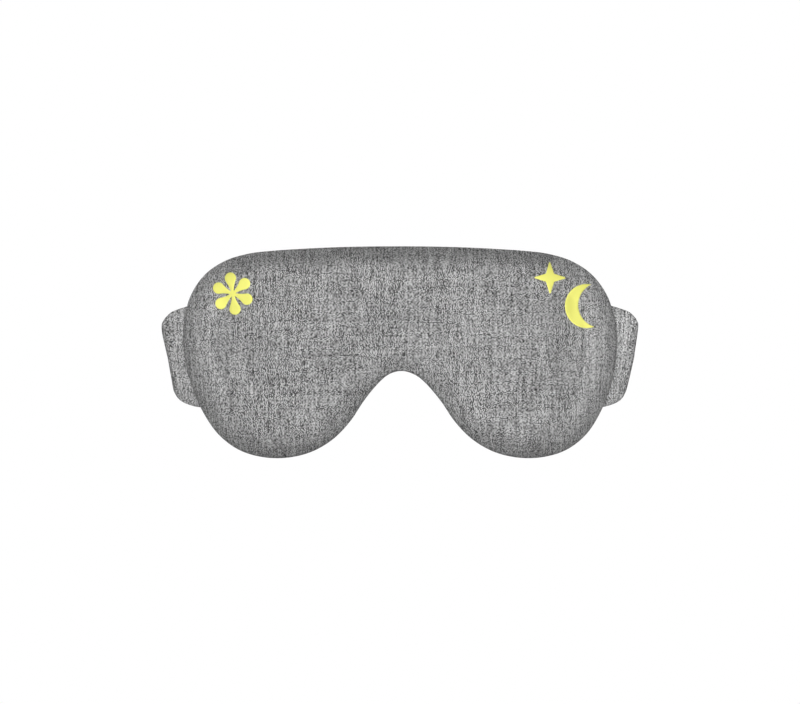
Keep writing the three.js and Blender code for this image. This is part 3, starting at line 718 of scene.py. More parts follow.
def mask_front(t=0.0, back_rings=10, hem=True):
    """The front, the rolled rim and the wrap round to the seam on the back, as one open surface."""
    V, UV, F = [], [], []
    ring_ids = []
    xz16 = ring_xz(PROFILE_D[:, -1])
    # back seam to rim
    if hem:
        for j in range(back_rings):
            a = math.radians(90 * (1 - j / back_rings))
            d = SEAM_INSET * (1 - math.cos(a)) if j else SEAM_INSET
            d = SEAM_INSET * (1 - math.cos(a))
            p = ring_xz(d)
            y = sag(p[:, 0]) - BACK_DEPTH + BACK_DEPTH * math.sin(a)
            # small gathers where the cloth is pulled into the seam
            gather = 0.16 * math.sin(a) ** 2 * np.sin(np.arange(NR) * 2 * math.pi / 7.3 + 0.7 * np.sin(np.arange(NR) * 0.21))
            back_arc = SEAM_INSET * math.sin(a) * 1.08
            ring_ids.append(len(V) and sum(len(v) for v in V))
            V.append(np.c_[p[:, 0], y + gather, p[:, 1]])
            UV.append(xz16 - INWARD * (ARC[:, -1] + back_arc)[:, None])
    for j in range(FRONT_RINGS + 1):
        p = ring_xz(PROFILE_D[:, j])
        y = sag(p[:, 0]) - BACK_DEPTH - PROFILE_H[:, j]
        V.append(np.c_[p[:, 0], y, p[:, 1]])
        UV.append(xz16 - INWARD * (STRETCH * (PROFILE_D[:, -1] - PROFILE_D[:, j]) + (1 - STRETCH) * (ARC[:, -1] - ARC[:, j]))[:, None])
    rings = len(V)
    V, UV = np.vstack(V), np.vstack(UV)
    for r in range(rings - 1):
        for i in range(NR):
            j = (i + 1) % NR
            F.append([r * NR + i, r * NR + j, (r + 1) * NR + j, (r + 1) * NR + i])
    rows = 64
    xz, kf, faces = cap_grid((rings - 1) * NR, xz16, rows, len(V))
    k = np.array([a for a, _ in kf])
    f = np.array([b for _, b in kf])
    g = f * f * (3 - 2 * f)
    H = PROFILE_H[:, -1]
    height = np.linalg.norm(xz16[k] - xz16[(2 * COLS - k) % NR], axis=1)
    swell = 1.7 * (4 * f * (1 - f)) ** 2 * np.clip(height / 55, 0, 1) ** 2
    y = sag(xz[:, 0]) - BACK_DEPTH - (H[k] * (1 - g) + H[(2 * COLS - k) % NR] * g) - swell
    V = np.vstack([V, np.c_[xz[:, 0], y, xz[:, 1]]])
    UV = np.vstack([UV, xz])
    F += faces
    soft = softness(V[:, 0], V[:, 2])
    front = np.zeros(len(V))
    start = (back_rings if hem else 0) * NR
    front[start:] = 1
    ramp = np.concatenate([np.zeros(start), np.repeat(np.linspace(0, 1, FRONT_RINGS + 1) ** 1.5, NR), np.ones(len(V) - rings * NR)])
    V[:, 1] += soft * ramp
    return V, F, UV, rings


V, F, UV, rings = mask_front()
OUT_N = vertex_normals(V, F)
if OUT_N[-1][1] > 0:
    F = [list(reversed(f)) for f in F]
COVER_V, COVER_F = V.copy(), F
W, WF, WUV = thicken(V, F, UV, 1.2)
# the hem behind the rim is measured along the rim and across it
HEM_RINGS = 10
mid_ring = ring_xz(4.0)
step_ = np.linalg.norm(np.diff(np.vstack([mid_ring, mid_ring[:1]]), axis=0), axis=1)
HEM_U = np.concatenate([[0], np.cumsum(step_)])
rings_xyz = V[:(HEM_RINGS + 1) * NR].reshape(HEM_RINGS + 1, NR, 3)
HEM_V = 400 - np.concatenate([[0], np.cumsum(np.linalg.norm(np.diff(rings_xyz, axis=0), axis=2).mean(axis=1))])
hem_corners = {}
for fi, f in enumerate(F):
    if max(f) < (HEM_RINGS + 1) * NR:
        cols = [v % NR for v in f]
        wrap_round = max(cols) - min(cols) > 1
        hem_corners[fi] = [(HEM_U[NR if wrap_round and c == 0 else c], HEM_V[v // NR]) for v, c in zip(f, cols)]
cover = make("mask_cover", W, WF, WUV, CLOTH, corners=hem_corners)
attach(cover, "mask")
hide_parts("front_cover")
BVH = BVHTree.FromPolygons(COVER_V.tolist(), COVER_F)


def on_front(x, z):
    """The front surface's point and normal at (x, z)."""
    loc, nor, _, _ = BVH.ray_cast(Vector((x, -80, z)), Vector((0, 1, 0)))
    n = np.array(nor)
    if n[1] > 0:
        n = -n
    return np.array(loc), n


# ---------------------------------------------------------------- foam core, liner and lining
def back_surface(d0, t, rows=60, rings_d=(), wrinkle=0.0):
    """The wearer's side at depth t, an open surface of rings at the insets rings_d and columns; d0 is not used."""
    V, UV, F = [], [], []
    ds = list(rings_d)
    for d in ds:
        p = ring_xz(d)
        y = sag(p[:, 0]) - t - cavity(p[:, 0], p[:, 1])
        V.append(np.c_[p[:, 0], y, p[:, 1]])
        UV.append(p)
    rings = len(V)
    V, UV = np.vstack(V), np.vstack(UV)
    for r in range(rings - 1):
        for i in range(NR):
            j = (i + 1) % NR
            F.append([r * NR + i, r * NR + j, (r + 1) * NR + j, (r + 1) * NR + i])
    last = ring_xz(ds[-1])
    xz, kf, faces = cap_grid((rings - 1) * NR, last, rows, len(V))
    y = sag(xz[:, 0]) - t - cavity(xz[:, 0], xz[:, 1])
    if wrinkle:
        edge = np.clip((np.array([min(f, 1 - f) for _, f in kf])) * 8, 0, 1)
        y = y + softness(xz[:, 0] * 1.3 + 11, xz[:, 1] * 1.3 - 5, wrinkle) * edge
    V = np.vstack([V, np.c_[xz[:, 0], y, xz[:, 1]]])
    UV = np.vstack([UV, xz])
    F += faces
    return V, F, UV


LIN_RINGS = [9.0, 9.25, 9.7, 10.4, 11.4, 12.8, 14.4]
V, F, UV = back_surface(9.0, 0.0, rings_d=LIN_RINGS, wrinkle=0.05)
V[:NR, 1] -= 0.9  # the raw edge dives under the cover's hem
V[NR:2 * NR, 1] -= 0.35
V[2 * NR:3 * NR, 1] -= 0.05
if vertex_normals(V, F)[-1][1] < 0:
    F = [list(reversed(f)) for f in F]
LINING_BVH = BVHTree.FromPolygons(V.tolist(), F)
W, WF, WUV = thicken(V, F, UV, 1.2)
lining = make("back_lining_cloth", W, WF, WUV, LINING)
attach(lining, "mask")
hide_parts("back_lining")


def on_back(x, z):
    loc, nor, _, _ = LINING_BVH.ray_cast(Vector((x, 120, z)), Vector((0, -1, 0)))
    n = np.array(nor)
    return np.array(loc), (n if n[1] > 0 else -n)


V, F, UV = back_surface(10.4, 1.7, rings_d=[10.6, 12, 14.4])
if vertex_normals(V, F)[-1][1] < 0:
    F = [list(reversed(f)) for f in F]
W, WF, WUV = thicken(V, F, UV, 0.7)
liner = make("blackout_sheet", W, WF, WUV, FILM)
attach(liner, "mask")
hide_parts("blackout_liner")

# the foam fills the space between the cover's inner side and the liner
front_part = COVER_V - vertex_normals(COVER_V, COVER_F) * 1.6
start = 10
FRONT_IDX = np.arange(start * NR, len(COVER_V))
fv = front_part[FRONT_IDX]
ff = [[i - start * NR for i in f] for f in COVER_F if min(f) >= start * NR]
back_ds = [10.3, 12.5, 14.4]
bv, bf, _ = back_surface(10.3, 2.8, rings_d=back_ds)
mid = []
for a in (35, 60, 78):
    r = math.radians(a)
    p = ring_xz(1.6 + (9.5 - 1.6) * (1 - math.cos(r)))
    y = sag(p[:, 0]) - BACK_DEPTH + (BACK_DEPTH - 1.6) * math.sin(r)
    mid.append(np.c_[p[:, 0], y, p[:, 1]])
FV = np.vstack([fv, *mid, bv])
FF = list(ff)
base_mid = len(fv)
chain = [0] + [base_mid + k * NR for k in range(3)] + [base_mid + 3 * NR]
sample = ff[0]
for a, b in zip(chain[:-1], chain[1:]):
    for i in range(NR):
        j = (i + 1) % NR
        FF.append([a + j, a + i, b + i, b + j])
bf2 = [[i + base_mid + 3 * NR for i in f] for f in bf]
# turn the three groups the same way round
if vertex_normals(fv, ff)[-1][1] > 0:
    ff_n = [list(reversed(f)) for f in ff]
else:
    ff_n = ff
if vertex_normals(bv, bf)[-1][1] < 0:
    bf2 = [list(reversed(f)) for f in bf2]
ring_faces = FF[len(ff):]
e_front = {(f[i], f[(i + 1) % len(f)]) for f in ff_n for i in range(len(f))}
q = ring_faces[0]
if any((q[i], q[(i + 1) % 4]) in e_front for i in range(4)):
    ring_faces = [list(reversed(f)) for f in ring_faces]
foam = make("foam_core_pad", FV, ff_n + ring_faces + bf2, FV[:, [0, 2]], FOAM)
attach(foam, "mask")
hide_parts("foam_core")

# ---------------------------------------------------------------- seam stitches round the back
dense_n = np.roll(RIM, -1, axis=0) - np.roll(RIM, 1, axis=0)
loop = ring_xz(SEAM_INSET - 1.5)
seg = np.concatenate([[0], np.cumsum(np.linalg.norm(np.diff(np.vstack([loop, loop[:1]]), axis=0), axis=1))])
loop_c = np.vstack([loop, loop[:1]])
total = seg[-1]
count = int(total / 3.0)
pts, tans, nors = [], [], []
COVER_BACK = BVH
for i in range(count):
    s = (i + 0.5) * total / count
    x, z = np.interp(s, seg, loop_c[:, 0]), np.interp(s, seg, loop_c[:, 1])
    x2, z2 = np.interp(s + 0.5, seg, loop_c[:, 0]), np.interp(s + 0.5, seg, loop_c[:, 1])
    loc, nor, _, _ = BVH.ray_cast(Vector((x, 120, z)), Vector((0, -1, 0)))
    if loc is None:
        continue
    n = np.array(nor)
    n = n if n[1] > 0 else -n
    if abs(loc[1] - (sag(x))) > 3:
        continue
    pts.append(np.array(loc))
    tans.append(np.array([x2 - x, 0, z2 - z]) + 1e-9)
    nors.append(n)
pts = [q - 0.06 * w for q, w in zip(pts, nors)]
V, F, UV = capsules(pts, tans, nors, 1.9, 0.2, wobble=0.12)
seam = make("seam_stitches", V, F, UV, THREAD)
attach(seam, "mask")


# ---------------------------------------------------------------- motifs
def resample(poly, step):
    poly = np.array(poly, float)
    out = []
    for i in range(len(poly)):
        a, b = poly[i], poly[(i + 1) % len(poly)]
        n = max(1, int(math.ceil(np.linalg.norm(b - a) / step)))
        for k in range(n):
            out.append(a + (b - a) * k / n)
    return np.array(out)


def signed_area(p):
    x, y = p[:, 0], p[:, 1]
    return 0.5 * float(np.sum(x * np.roll(y, -1) - y * np.roll(x, -1)))


def inset_loop(p, d):
    a, b = np.roll(p, 1, axis=0), np.roll(p, -1, axis=0)
    e1 = p - a
    e2 = b - p
    e1 /= np.linalg.norm(e1, axis=1, keepdims=True)
    e2 /= np.linalg.norm(e2, axis=1, keepdims=True)
    n1, n2_ = np.c_[-e1[:, 1], e1[:, 0]], np.c_[-e2[:, 1], e2[:, 0]]
    n = n1 + n2_
    n /= np.maximum(np.linalg.norm(n, axis=1, keepdims=True), 1e-9)
    c = np.clip(np.sum(n * n1, axis=1), 0.45, 1)
    return p + n * (d / c)[:, None]


def inside(points, poly):
    x, y = points[:, 0], points[:, 1]
    res = np.zeros(len(points), bool)
    for i in range(len(poly)):
        x1, y1 = poly[i]
        x2, y2 = poly[(i + 1) % len(poly)]
        cond = (y1 > y) != (y2 > y)
        with np.errstate(divide="ignore", invalid="ignore"):
            xi = (x2 - x1) * (y - y1) / (y2 - y1) + x1
        res ^= cond & (x < xi)
    return res


def decal(name, poly, surface, material, lift=0.03, thickness=0.24, step=0.45, grid=1.1, round_by=0.12):
    """A thin film cut to an outline and pressed onto a surface, with a softly rounded edge."""
    p = resample(poly, step)
    if signed_area(p) < 0:
        p = p[::-1]
    inner = inset_loop(p, round_by)
    lo_, hi_ = p.min(0), p.max(0)
    gx, gz = np.meshgrid(np.arange(lo_[0], hi_[0], grid), np.arange(lo_[1], hi_[1], grid))
    g = np.c_[gx.ravel(), gz.ravel()]
    keep = inside(g, inset_loop(p, round_by + 0.35))
    g = g[keep]
    pts2 = np.vstack([inner, g])
    edges = [(i, (i + 1) % len(inner)) for i in range(len(inner))]
    verts, _, tris, ov, _, _ = delaunay_2d_cdt([Vector(v) for v in pts2], edges, [], 1, 1e-6)
    verts = np.array(verts)
    tris = [list(t) for t in tris]
    cen = np.array([verts[t].mean(0) for t in tris])
    ok = inside(cen, inner)
    tris = [t for t, k in zip(tris, ok) if k]
    n = len(verts)
    order = [next(j for j, o in enumerate(ov) if i in o) for i in range(len(inner))]
    S = [surface(x, z) for x, z in verts]
    top_v = [a + b * (lift + thickness) for a, b in S]
    low_v = [a + b * (lift - 0.25) for a, b in S]
    SE = [surface(x, z) for x, z in p]
    side_hi = [a + b * (lift + thickness * 0.55) for a, b in SE]
    side_lo = [a + b * (lift - 0.25) for a, b in SE]
    V = np.array(top_v + low_v + side_hi + side_lo)
    F = []
    for t in tris:
        F.append(t)
        F.append([i + n for i in reversed(t)])
    m_ = len(p)
    for i in range(m_):
        j = (i + 1) % m_
        a, b = order[i], order[j]
        c, d = 2 * n + i, 2 * n + j
        e, f = 2 * n + m_ + i, 2 * n + m_ + j
        F.append([b, a, c, d])
        F.append([d, c, e, f])
        F.append([f, e, a + n, b + n])
    uv = np.vstack([verts, verts, p, p])
    F = outward(V, F)
    return make(name, V, F, uv, material)


def petals():
    o = FLOWER
    pts = []
    halfa = math.asin(o["capR"] / o["cap"])
    reach = math.sqrt(o["cap"] ** 2 - o["capR"] ** 2)
    for k in range(6):
        axis = math.radians(90 + o["tilt"] - 60 * k)
        polar = lambda r, a: np.array([o["x"] + r * math.cos(a), o["z"] + r * math.sin(a)])
        across = np.array([-math.sin(axis), math.cos(axis)])
        hub_l, hub_r = polar(o["hub"], axis + math.radians(27)), polar(o["hub"], axis - math.radians(27))
        cap_l, cap_r = polar(reach, axis + halfa), polar(reach, axis - halfa)
        for i in range(6):  # the stem narrows a little before it opens into the cap
            f = i / 6
            pts.append(hub_l + (cap_l - hub_l) * f - across * 0.26 * math.sin(math.pi * f))
        pts.append(cap_l)
        for i in range(1, 24):
            a = axis + math.pi / 2 + halfa - (i / 24) * (math.pi + 2 * halfa)
            pts.append([o["x"] + o["cap"] * math.cos(axis) + o["capR"] * math.cos(a),
                        o["z"] + o["cap"] * math.sin(axis) + o["capR"] * math.sin(a)])
        pts.append(cap_r)
        for i in range(1, 7):
            f = i / 6
            pts.append(cap_r + (hub_r - cap_r) * f + across * 0.26 * math.sin(math.pi * f))
    return pts


def star():
    o = STAR
    pts = []
    for k in range(4):
        c, s = round(math.cos(math.radians(90 * k))), round(math.sin(math.radians(90 * k)))
        turn = lambda u, v: pts.append([o["x"] + u * c - v * s, o["z"] + u * s + v * c])
        prev_in = (o["inner"], -o["inner"])
        for i in range(1, 8):  # slightly hollow edge from the inner corner out to the tip
            f = i / 8
            u = prev_in[0] + (o["tip"] - prev_in[0]) * f
            v = prev_in[1] + (-o["blunt"] - prev_in[1]) * f
            turn(u, v + 0.03 * math.sin(math.pi * f))
        turn(o["tip"], -o["blunt"])
        turn(o["tip"] + 0.18, 0)
        turn(o["tip"], o["blunt"])
        for i in range(1, 8):
            f = i / 8
            u = o["tip"] + (o["inner"] - o["tip"]) * f
            v = o["blunt"] + (o["inner"] - o["blunt"]) * f
            turn(u, v - 0.03 * math.sin(math.pi * f))
        turn(o["inner"], o["inner"])
    return pts


def crescent():
    o = MOON
    gap = math.hypot(o["cx"] - o["x"], o["cz"] - o["z"])
    toward = math.atan2(o["cz"] - o["z"], o["cx"] - o["x"])
    a = math.acos((gap ** 2 + o["r"] ** 2 - o["cr"] ** 2) / (2 * gap * o["r"]))
    b = math.acos((gap ** 2 + o["cr"] ** 2 - o["r"] ** 2) / (2 * gap * o["cr"]))
    pts = []
    for i in range(61):
        t = toward + a + (i / 60) * 2 * (math.pi - a)
        pts.append([o["x"] + o["r"] * math.cos(t), o["z"] + o["r"] * math.sin(t)])
    for i in range(1, 48):
        t = toward + math.pi + b - (i / 48) * 2 * b
        pts.append([o["cx"] + o["cr"] * math.cos(t), o["cz"] + o["cr"] * math.sin(t)])
    return pts


for name, poly, node in (("flower_print", petals(), "motif_flower"), ("star_print", star(), "motif_star"),
                         ("moon_print", crescent(), "motif_moon")):
    o = decal(name, poly, on_front, YELLOW)
    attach(o, "mask")
    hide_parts(node)

label = decal("label_cloth", [[-10, 27.5], [10, 27.5], [10, 38.5], [-10, 38.5]], on_back, LABEL_MAT, lift=0.05, thickness=0.45, round_by=0.2)
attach(label, "mask")
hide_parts("care_label")
pts, tans, nors = [], [], []
for side in (-1, 1):
    for k in range(5):
        p, n = on_back(side * 9.0, 28.7 + k * 2.15)
        pts.append(p + n * 0.48)
        tans.append(np.array([0, 0, 1.0]))
        nors.append(n)
V, F, UV = capsules(pts, tans, nors, 1.5, 0.17, wobble=0.1)
o = make("label_stitches", V, F, UV, THREAD)
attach(o, "mask")


# ---------------------------------------------------------------- strap path
def stations(extra):
    out = []
    for x in ROOT_X:
        slope = x / math.sqrt(FACE_R ** 2 - x * x)
        l = math.hypot(slope, 1)
        out.append([x - slope / l * STRAP_LEAD, float(sag(x)) + STRAP_LEAD / l, -2.2, 25.4, 0])
    return np.array(out + SIDE + extra, float)


def strap_path(st):
    last = len(st) - 1
    after = st[last].copy()
    after[0] = 2 * st[last][0] - st[last - 1][0]
    after[1] = st[last - 1][1]
    al = np.vstack([2 * st[0] - st[1], st, after])

    def f(s):
        if s >= last:
            p = st[last].copy()
            p[0] -= 12 * (s - last)
            return p, np.array([-1.0, 0.0])
        i = max(0, int(math.floor(s)))
        t = s - i
        a, b, c, d = al[i], al[i + 1], al[i + 2], al[i + 3]
        p = 0.5 * (2 * b + (c - a) * t + (2 * a - 5 * b + 4 * c - d) * t * t + (3 * b - a - 3 * c + d) * t ** 3)
        q = 0.5 * (c - a + 2 * (2 * a - 5 * b + 4 * c - d) * t + 3 * (3 * b - a - 3 * c + d) * t * t)[:2]
        return p, q / np.linalg.norm(q)

    return f


TAIL, BAND = strap_path(stations(TAIL_BACK)), strap_path(stations(BAND_BACK))
LAST = 20


def strap_point(path, s, o, v, side):
    p, t = path(s)
    slant = math.radians(p[4])
    return np.array([side * (p[0] + t[1] * o + v * math.sin(slant)), p[1] - t[0] * o, p[2] + v * math.cos(slant)])


def strap_normal(path, s, side, sign=1):
    return sign * (strap_point(path, s, 1, 0, side) - strap_point(path, s, 0, 0, side))


def station_list(path, s0, s1, step_mm):
    ss = np.linspace(s0, s1, 400)
    P = np.array([path(s)[0][:2] for s in ss])
    L_ = np.concatenate([[0], np.cumsum(np.hypot(*np.diff(P, axis=0).T))])
    n = max(2, int(round(L_[-1] / step_mm)))
    u = np.linspace(0, L_[-1], n + 1)
    return np.interp(u, L_, ss), u


def length_at(path):
    ss = np.linspace(0, 24, 3000)
    P = np.array([path(s)[0][:2] for s in ss])
    L_ = np.concatenate([[0], np.cumsum(np.hypot(*np.diff(P, axis=0).T))])
    return lambda s: float(np.interp(s, ss, L_))


TAIL_LEN, BAND_LEN = length_at(TAIL), length_at(BAND)
WING_T = 3.7
TAIL_T = 2.7
PRESS = (TAIL_LEN(1.9), TAIL_LEN(1.9) + 11.0)


def padded_band(name, path, side, s0, s1, thick, material, width=None, power=7.0, step=1.6, K=56, round0=0.0, round1=0.0,
                offset=0.0, soft=0.10, fade=0.8, seed=0.0, press=0.0):
    """A padded strip: flat in the middle, rolled at its long edges, tapered at its ends over fade millimetres.
    round0 and round1 are corner radii of its two ends; press is how much of the sewn-down end's thinning moves this
    strip's middle (0 for none, 0.5 for the pad itself, 1 for what lies on the pad's inner face)."""
    S, U = station_list(path, s0, s1, step)
    if fade:
        extra0 = [fade * x for x in (0.0, 0.12, 0.3, 0.6, 1.0)]
        U2 = np.unique(np.concatenate([extra0, U[-1] - np.array(extra0), U[(U > fade) & (U < U[-1] - fade)]]))
        if round0 or round1:
            for r, end in ((round0, 0), (round1, 1)):
                if r:
                    more = r * (1 - np.cos(np.linspace(0, math.pi / 2, 10)))
                    U2 = np.unique(np.concatenate([U2, more if end == 0 else U[-1] - more]))
        keep = [U2[0]]
        for u in U2[1:]:
            if u - keep[-1] > 0.03:
                keep.append(u)
        keep[-1] = U[-1]
        S = np.interp(keep, U, S)
        U = np.array(keep)
    length = path_len(path)
    sections, uvs = [], []
    base = length(s0)
    th = np.linspace(0, 2 * math.pi, K, endpoint=False)
    c, sn = np.cos(th), np.sin(th)
    vv = np.sign(c) * np.abs(c) ** (2 / power)
    oo = np.sign(sn) * np.abs(sn) ** (2 / 2.2)
    for s, u in zip(S, U):
        h = (width(s) if callable(width) else width) if width is not None else path(s)[0][3]
        total = U[-1]
        cut = 0.0
        for r, dist in ((round0, u), (round1, total - u)):
            if r and dist < r:
                cut = max(cut, r - math.sqrt(max(0.0, r * r - (r - dist) ** 2)))
        h = h - cut
        e = min(u, total - u)
        k = math.sqrt(max(0.0, 1 - (1 - min(1, e / fade)) ** 2)) if fade else 1.0
        k = max(k, 0.12)
        sec = []
        for i in range(K):
            lift = softness(base + u + seed, vv[i] * h * 1.0 + seed, soft) if soft else 0
            thin = pressed(base + u) if press else 1.0
            o = offset + WING_T * (1 - thin) * press
            o += (thick / 2) * oo[i] * k * (thin if press == 0.5 else 1.0) + lift * k * (1 if oo[i] > 0 else 0.5) * thin
            sec.append(strap_point(path, s, o, vv[i] * h, side))
        sections.append(np.array(sec))
        across = np.sign(sn) * 0
        # cloth coordinates: along the strip, and round its edge
        wrap = np.where(sn >= 0, vv * h, np.sign(vv) * (2 * h - np.abs(vv * h)) + np.sign(vv) * thick * 0.8)
        uvs.append(np.c_[np.full(K, base + u) * side, wrap])
    V, F = tube(sections)
    F = outward(V, F)
    return V, F, np.vstack(uvs)


def pressed(length):
    """How much of its thickness the pad keeps at this length: little under the stitches on the mask's back."""
    f = min(1.0, max(0.0, (length - PRESS[0]) / (PRESS[1] - PRESS[0])))
    return 0.5 + 0.5 * f * f * (3 - 2 * f)


def path_len(path):
    return TAIL_LEN if path is TAIL else BAND_LEN


def fold_points(path, s, side, reach):
    """Two points reach millimetres before and after the fold line at station s, in metres."""
    p, t = path(s)
    a = np.array([side * p[0], p[1], p[2]])
    d = np.array([side * t[0], t[1], 0.0])
    return tuple((a - d * reach) / 1000), tuple((a + d * reach) / 1000)


def straight_stitches(path, side, items, length=2.0, radius=0.2, sign=1):
    """Stitches on a strap: items are (station, offset, across, direction 'u' or 'v')."""
    P, T, N = [], [], []
    for s, o, v, kind in items:
        p = strap_point(path, s, o, v, side)
        if kind == "u":
            t = strap_point(path, s + 0.02, o, v, side) - p
        else:
            t = strap_point(path, s, o, v + 0.3, side) - p
        P.append(p)
        T.append(t)
        N.append(strap_normal(path, s, side, sign))
    return capsules(P, T, N, length, radius, wobble=0.1)


def row_u(path, s0, s1, v, o, pitch=3.0):
    f = path_len(path)
    ss = np.linspace(s0, s1, 200)
    ll = np.array([f(s) for s in ss])
    n = max(1, int((ll[-1] - ll[0]) / pitch))
    return [(float(np.interp(ll[0] + (k + 0.5) * (ll[-1] - ll[0]) / n, ll, ss)), o, v, "u") for k in range(n)]


def row_v(path, s, v0, v1, o, pitch=3.0):
    n = max(1, int(abs(v1 - v0) / pitch))
    return [(s, o, v0 + (k + 0.5) * (v1 - v0) / n, "v") for k in range(n)]


def merge(parts):
    V, F, UV, n = [], [], [], 0
    for v, f, uv in parts:
        V.append(v)
        F += [[i + n for i in q] for q in f]
        UV.append(uv)
        n += len(v)
    return np.vstack(V), F, np.vstack(UV)


def seams(name, parts, material=THREAD):
    V, F, UV = merge(parts)
    o = make(name, V, F, UV, material)
    return o


WING_END = 12.9  # station where the wing's end is sewn over the strap behind the head
for side, name, path in ((-1, "left", TAIL), (1, "right", BAND)):
    end = WING_END if side < 0 else 15.0
    V, F, UV = padded_band(f"{name}_wing", path, side, 0.05, end, WING_T, CLOTH_TURNED, power=9, seed=40 * side, round0=3.5,
                            press=0.5)
    wing = make(f"{name}_wing_pad", V, F, UV, CLOTH_TURNED)
    a, b = fold_points(path, WING_FOLD, side, 7.0)
    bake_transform(wing)
    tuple(a)
    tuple(b)
    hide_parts(f"{name}_root_cover", f"{name}_root_foam", f"{name}_wing_cover", f"{name}_wing_foam")
    # lining on the wearer's side, set in from the edges
    wfun = lambda s, path=path: path(s)[0][3] - 2.6
    V, F, UV = padded_band(f"{name}_in", path, side, 0.35, end - 0.12, 1.0, LINING, width=wfun, power=14, offset=-WING_T / 2 + 0.02, soft=0.0, seed=9,
                            round0=2.5, press=1.0)
    inner = make(f"{name}_wing_lining_cloth", V, F, UV, LINING)
    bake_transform(inner)
    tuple(a)
    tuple(b)
    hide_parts(f"{name}_root_lining", f"{name}_wing_lining")
    # the strap end is sewn to the mask's back with a box of stitches
    o_in = -WING_T / 2 - 0.45
    items = row_u(path, 0.35, 1.85, 21.6, o_in) + row_u(path, 0.35, 1.85, -21.6, o_in)
    items += row_v(path, 0.33, -21.2, 21.2, o_in) + row_v(path, 1.87, -21.2, 21.2, o_in)
    items = [(s, o + WING_T * (1 - pressed(path_len(path)(s))), v, kind) for s, o, v, kind in items]
    box = seams(f"{name}_anchor_box", [straight_stitches(path, side, items, sign=-1)])
    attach(box, "mask")
    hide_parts(f"{name}_anchor_stitching")

# left strap behind the head, closing patch of loops
T_END = LAST + (30 + 17) / 12.0
V, F, UV = padded_band("left_tail", TAIL, -1, WING_END - 0.55, T_END, TAIL_T, CLOTH_TURNED, power=9, round1=7.0, seed=-77,
                       width=lambda s: TAIL(s)[0][3] - 0.4)
tail = make("left_tail_pad", V, F, UV, CLOTH_TURNED)
a, b = fold_points(TAIL, BAND_FOLD, -1, 9.0)
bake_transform(tail)
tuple(a)
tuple(b)
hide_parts("left_tail_cover", "left_tail_foam")
V, F, UV = padded_band("left_tail_in", TAIL, -1, WING_END - 0.1, T_END - 0.25, 0.9, LINING, width=lambda s: TAIL(s)[0][3] - 2.6,
                       power=14, offset=-TAIL_T / 2 + 0.02, soft=0.0, round1=5.5, seed=5)
tin = make("left_tail_lining_cloth", V, F, UV, LINING)
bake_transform(tin)
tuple(a)
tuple(b)
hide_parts("left_tail_lining")
V, F, UV = padded_band("loop", TAIL, -1, LAST - 0.6, T_END - 0.35, 1.5, LOOP, width=12.9, power=16, offset=TAIL_T / 2 + 0.35, soft=0.03,
                       step=1.2, round0=3, round1=3, seed=3)
loop_pad = make("loop_patch_pile", V, F, UV, LOOP)
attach(loop_pad, "left_tail")
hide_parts("loop_patch")

# wing end sewn over the tail: two rows, both faces
parts = []
for o_s, sg in ((WING_T / 2 - 0.1, 1), (-WING_T / 2 - 0.45, -1)):
    items = row_v(TAIL, WING_END - 0.16, -14.6, 14.6, o_s) + row_v(TAIL, WING_END - 0.42, -14.6, 14.6, o_s)
    parts.append(straight_stitches(TAIL, -1, items, sign=sg))
ws = seams("left_join_stitches", parts)
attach(ws, "left_wing")
# stitches round the loop patch
o_s = TAIL_T / 2 + 1.05
items = row_u(TAIL, LAST - 0.5, T_END - 0.5, 11.6, o_s, 2.8) + row_u(TAIL, LAST - 0.5, T_END - 0.5, -11.6, o_s, 2.8)
items += row_v(TAIL, LAST - 0.5, -11, 11, o_s, 2.8) + row_v(TAIL, T_END - 0.45, -11, 11, o_s, 2.8)
ps = seams("loop_patch_stitches", [straight_stitches(TAIL, -1, items)], DARK_THREAD)
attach(ps, "left_tail")

# right strap: ribbed elastic from the wing to the pull tab
E_MID, E_END = 16.3, LAST - 0.45


def elastic(name, s0, s1, h=14.7, t=1.9):
    S, U = station_list(BAND, s0, s1, 0.32)
    base = BAND_LEN(s0)
    sections, uvs = [], []
    ks = np.linspace(-1, 1, 47)
    for s, u in zip(S, U):
        length = base + u
        rib = 0.10 * math.cos(2 * math.pi * length / 1.9)
        upper, lower, uvu, uvl = [], [], [], []
        for k in ks:
            v = k * (h + 0.25 * math.cos(2 * math.pi * length / 1.9))
            edge = (1 - abs(k) ** 14)
            cordy = 0.10 * math.cos(2 * math.pi * v / 1.3)
            o = (t / 2) * max(0.25, edge) + (rib + cordy) * edge
            upper.append(strap_point(BAND, s, o, v, 1))
            lower.append(strap_point(BAND, s, -o, v, 1))
            uvu.append((length, v))
            uvl.append((length + 100, v))
        sections.append(np.array(upper + lower[::-1]))
        uvs.append(np.array(uvu + uvl[::-1]))
    V, F = tube(sections)
    return make(name, V, outward(V, F), np.vstack(uvs), ELASTIC)


ea = elastic("right_elastic_near", 14.65, E_MID)
a, b = fold_points(BAND, BAND_FOLD, 1, 7.0)
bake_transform(ea)
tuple(a)
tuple(b)
eb = elastic("right_elastic_far", E_MID, E_END)
pm = BAND(E_MID)[0]
pe = BAND(LAST - 0.9)[0]
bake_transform(eb)
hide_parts("right_elastic")

# wing end sewn over the elastic
parts = []
for o_s, sg in ((WING_T / 2 - 0.1, 1), (-WING_T / 2 - 0.45, -1)):
    items = row_v(BAND, 14.84, -14.4, 14.4, o_s) + row_v(BAND, 14.62, -14.4, 14.4, o_s)
    parts.append(straight_stitches(BAND, 1, items, sign=sg))
ws = seams("right_join_stitches", parts)
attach(ws, "right_wing")

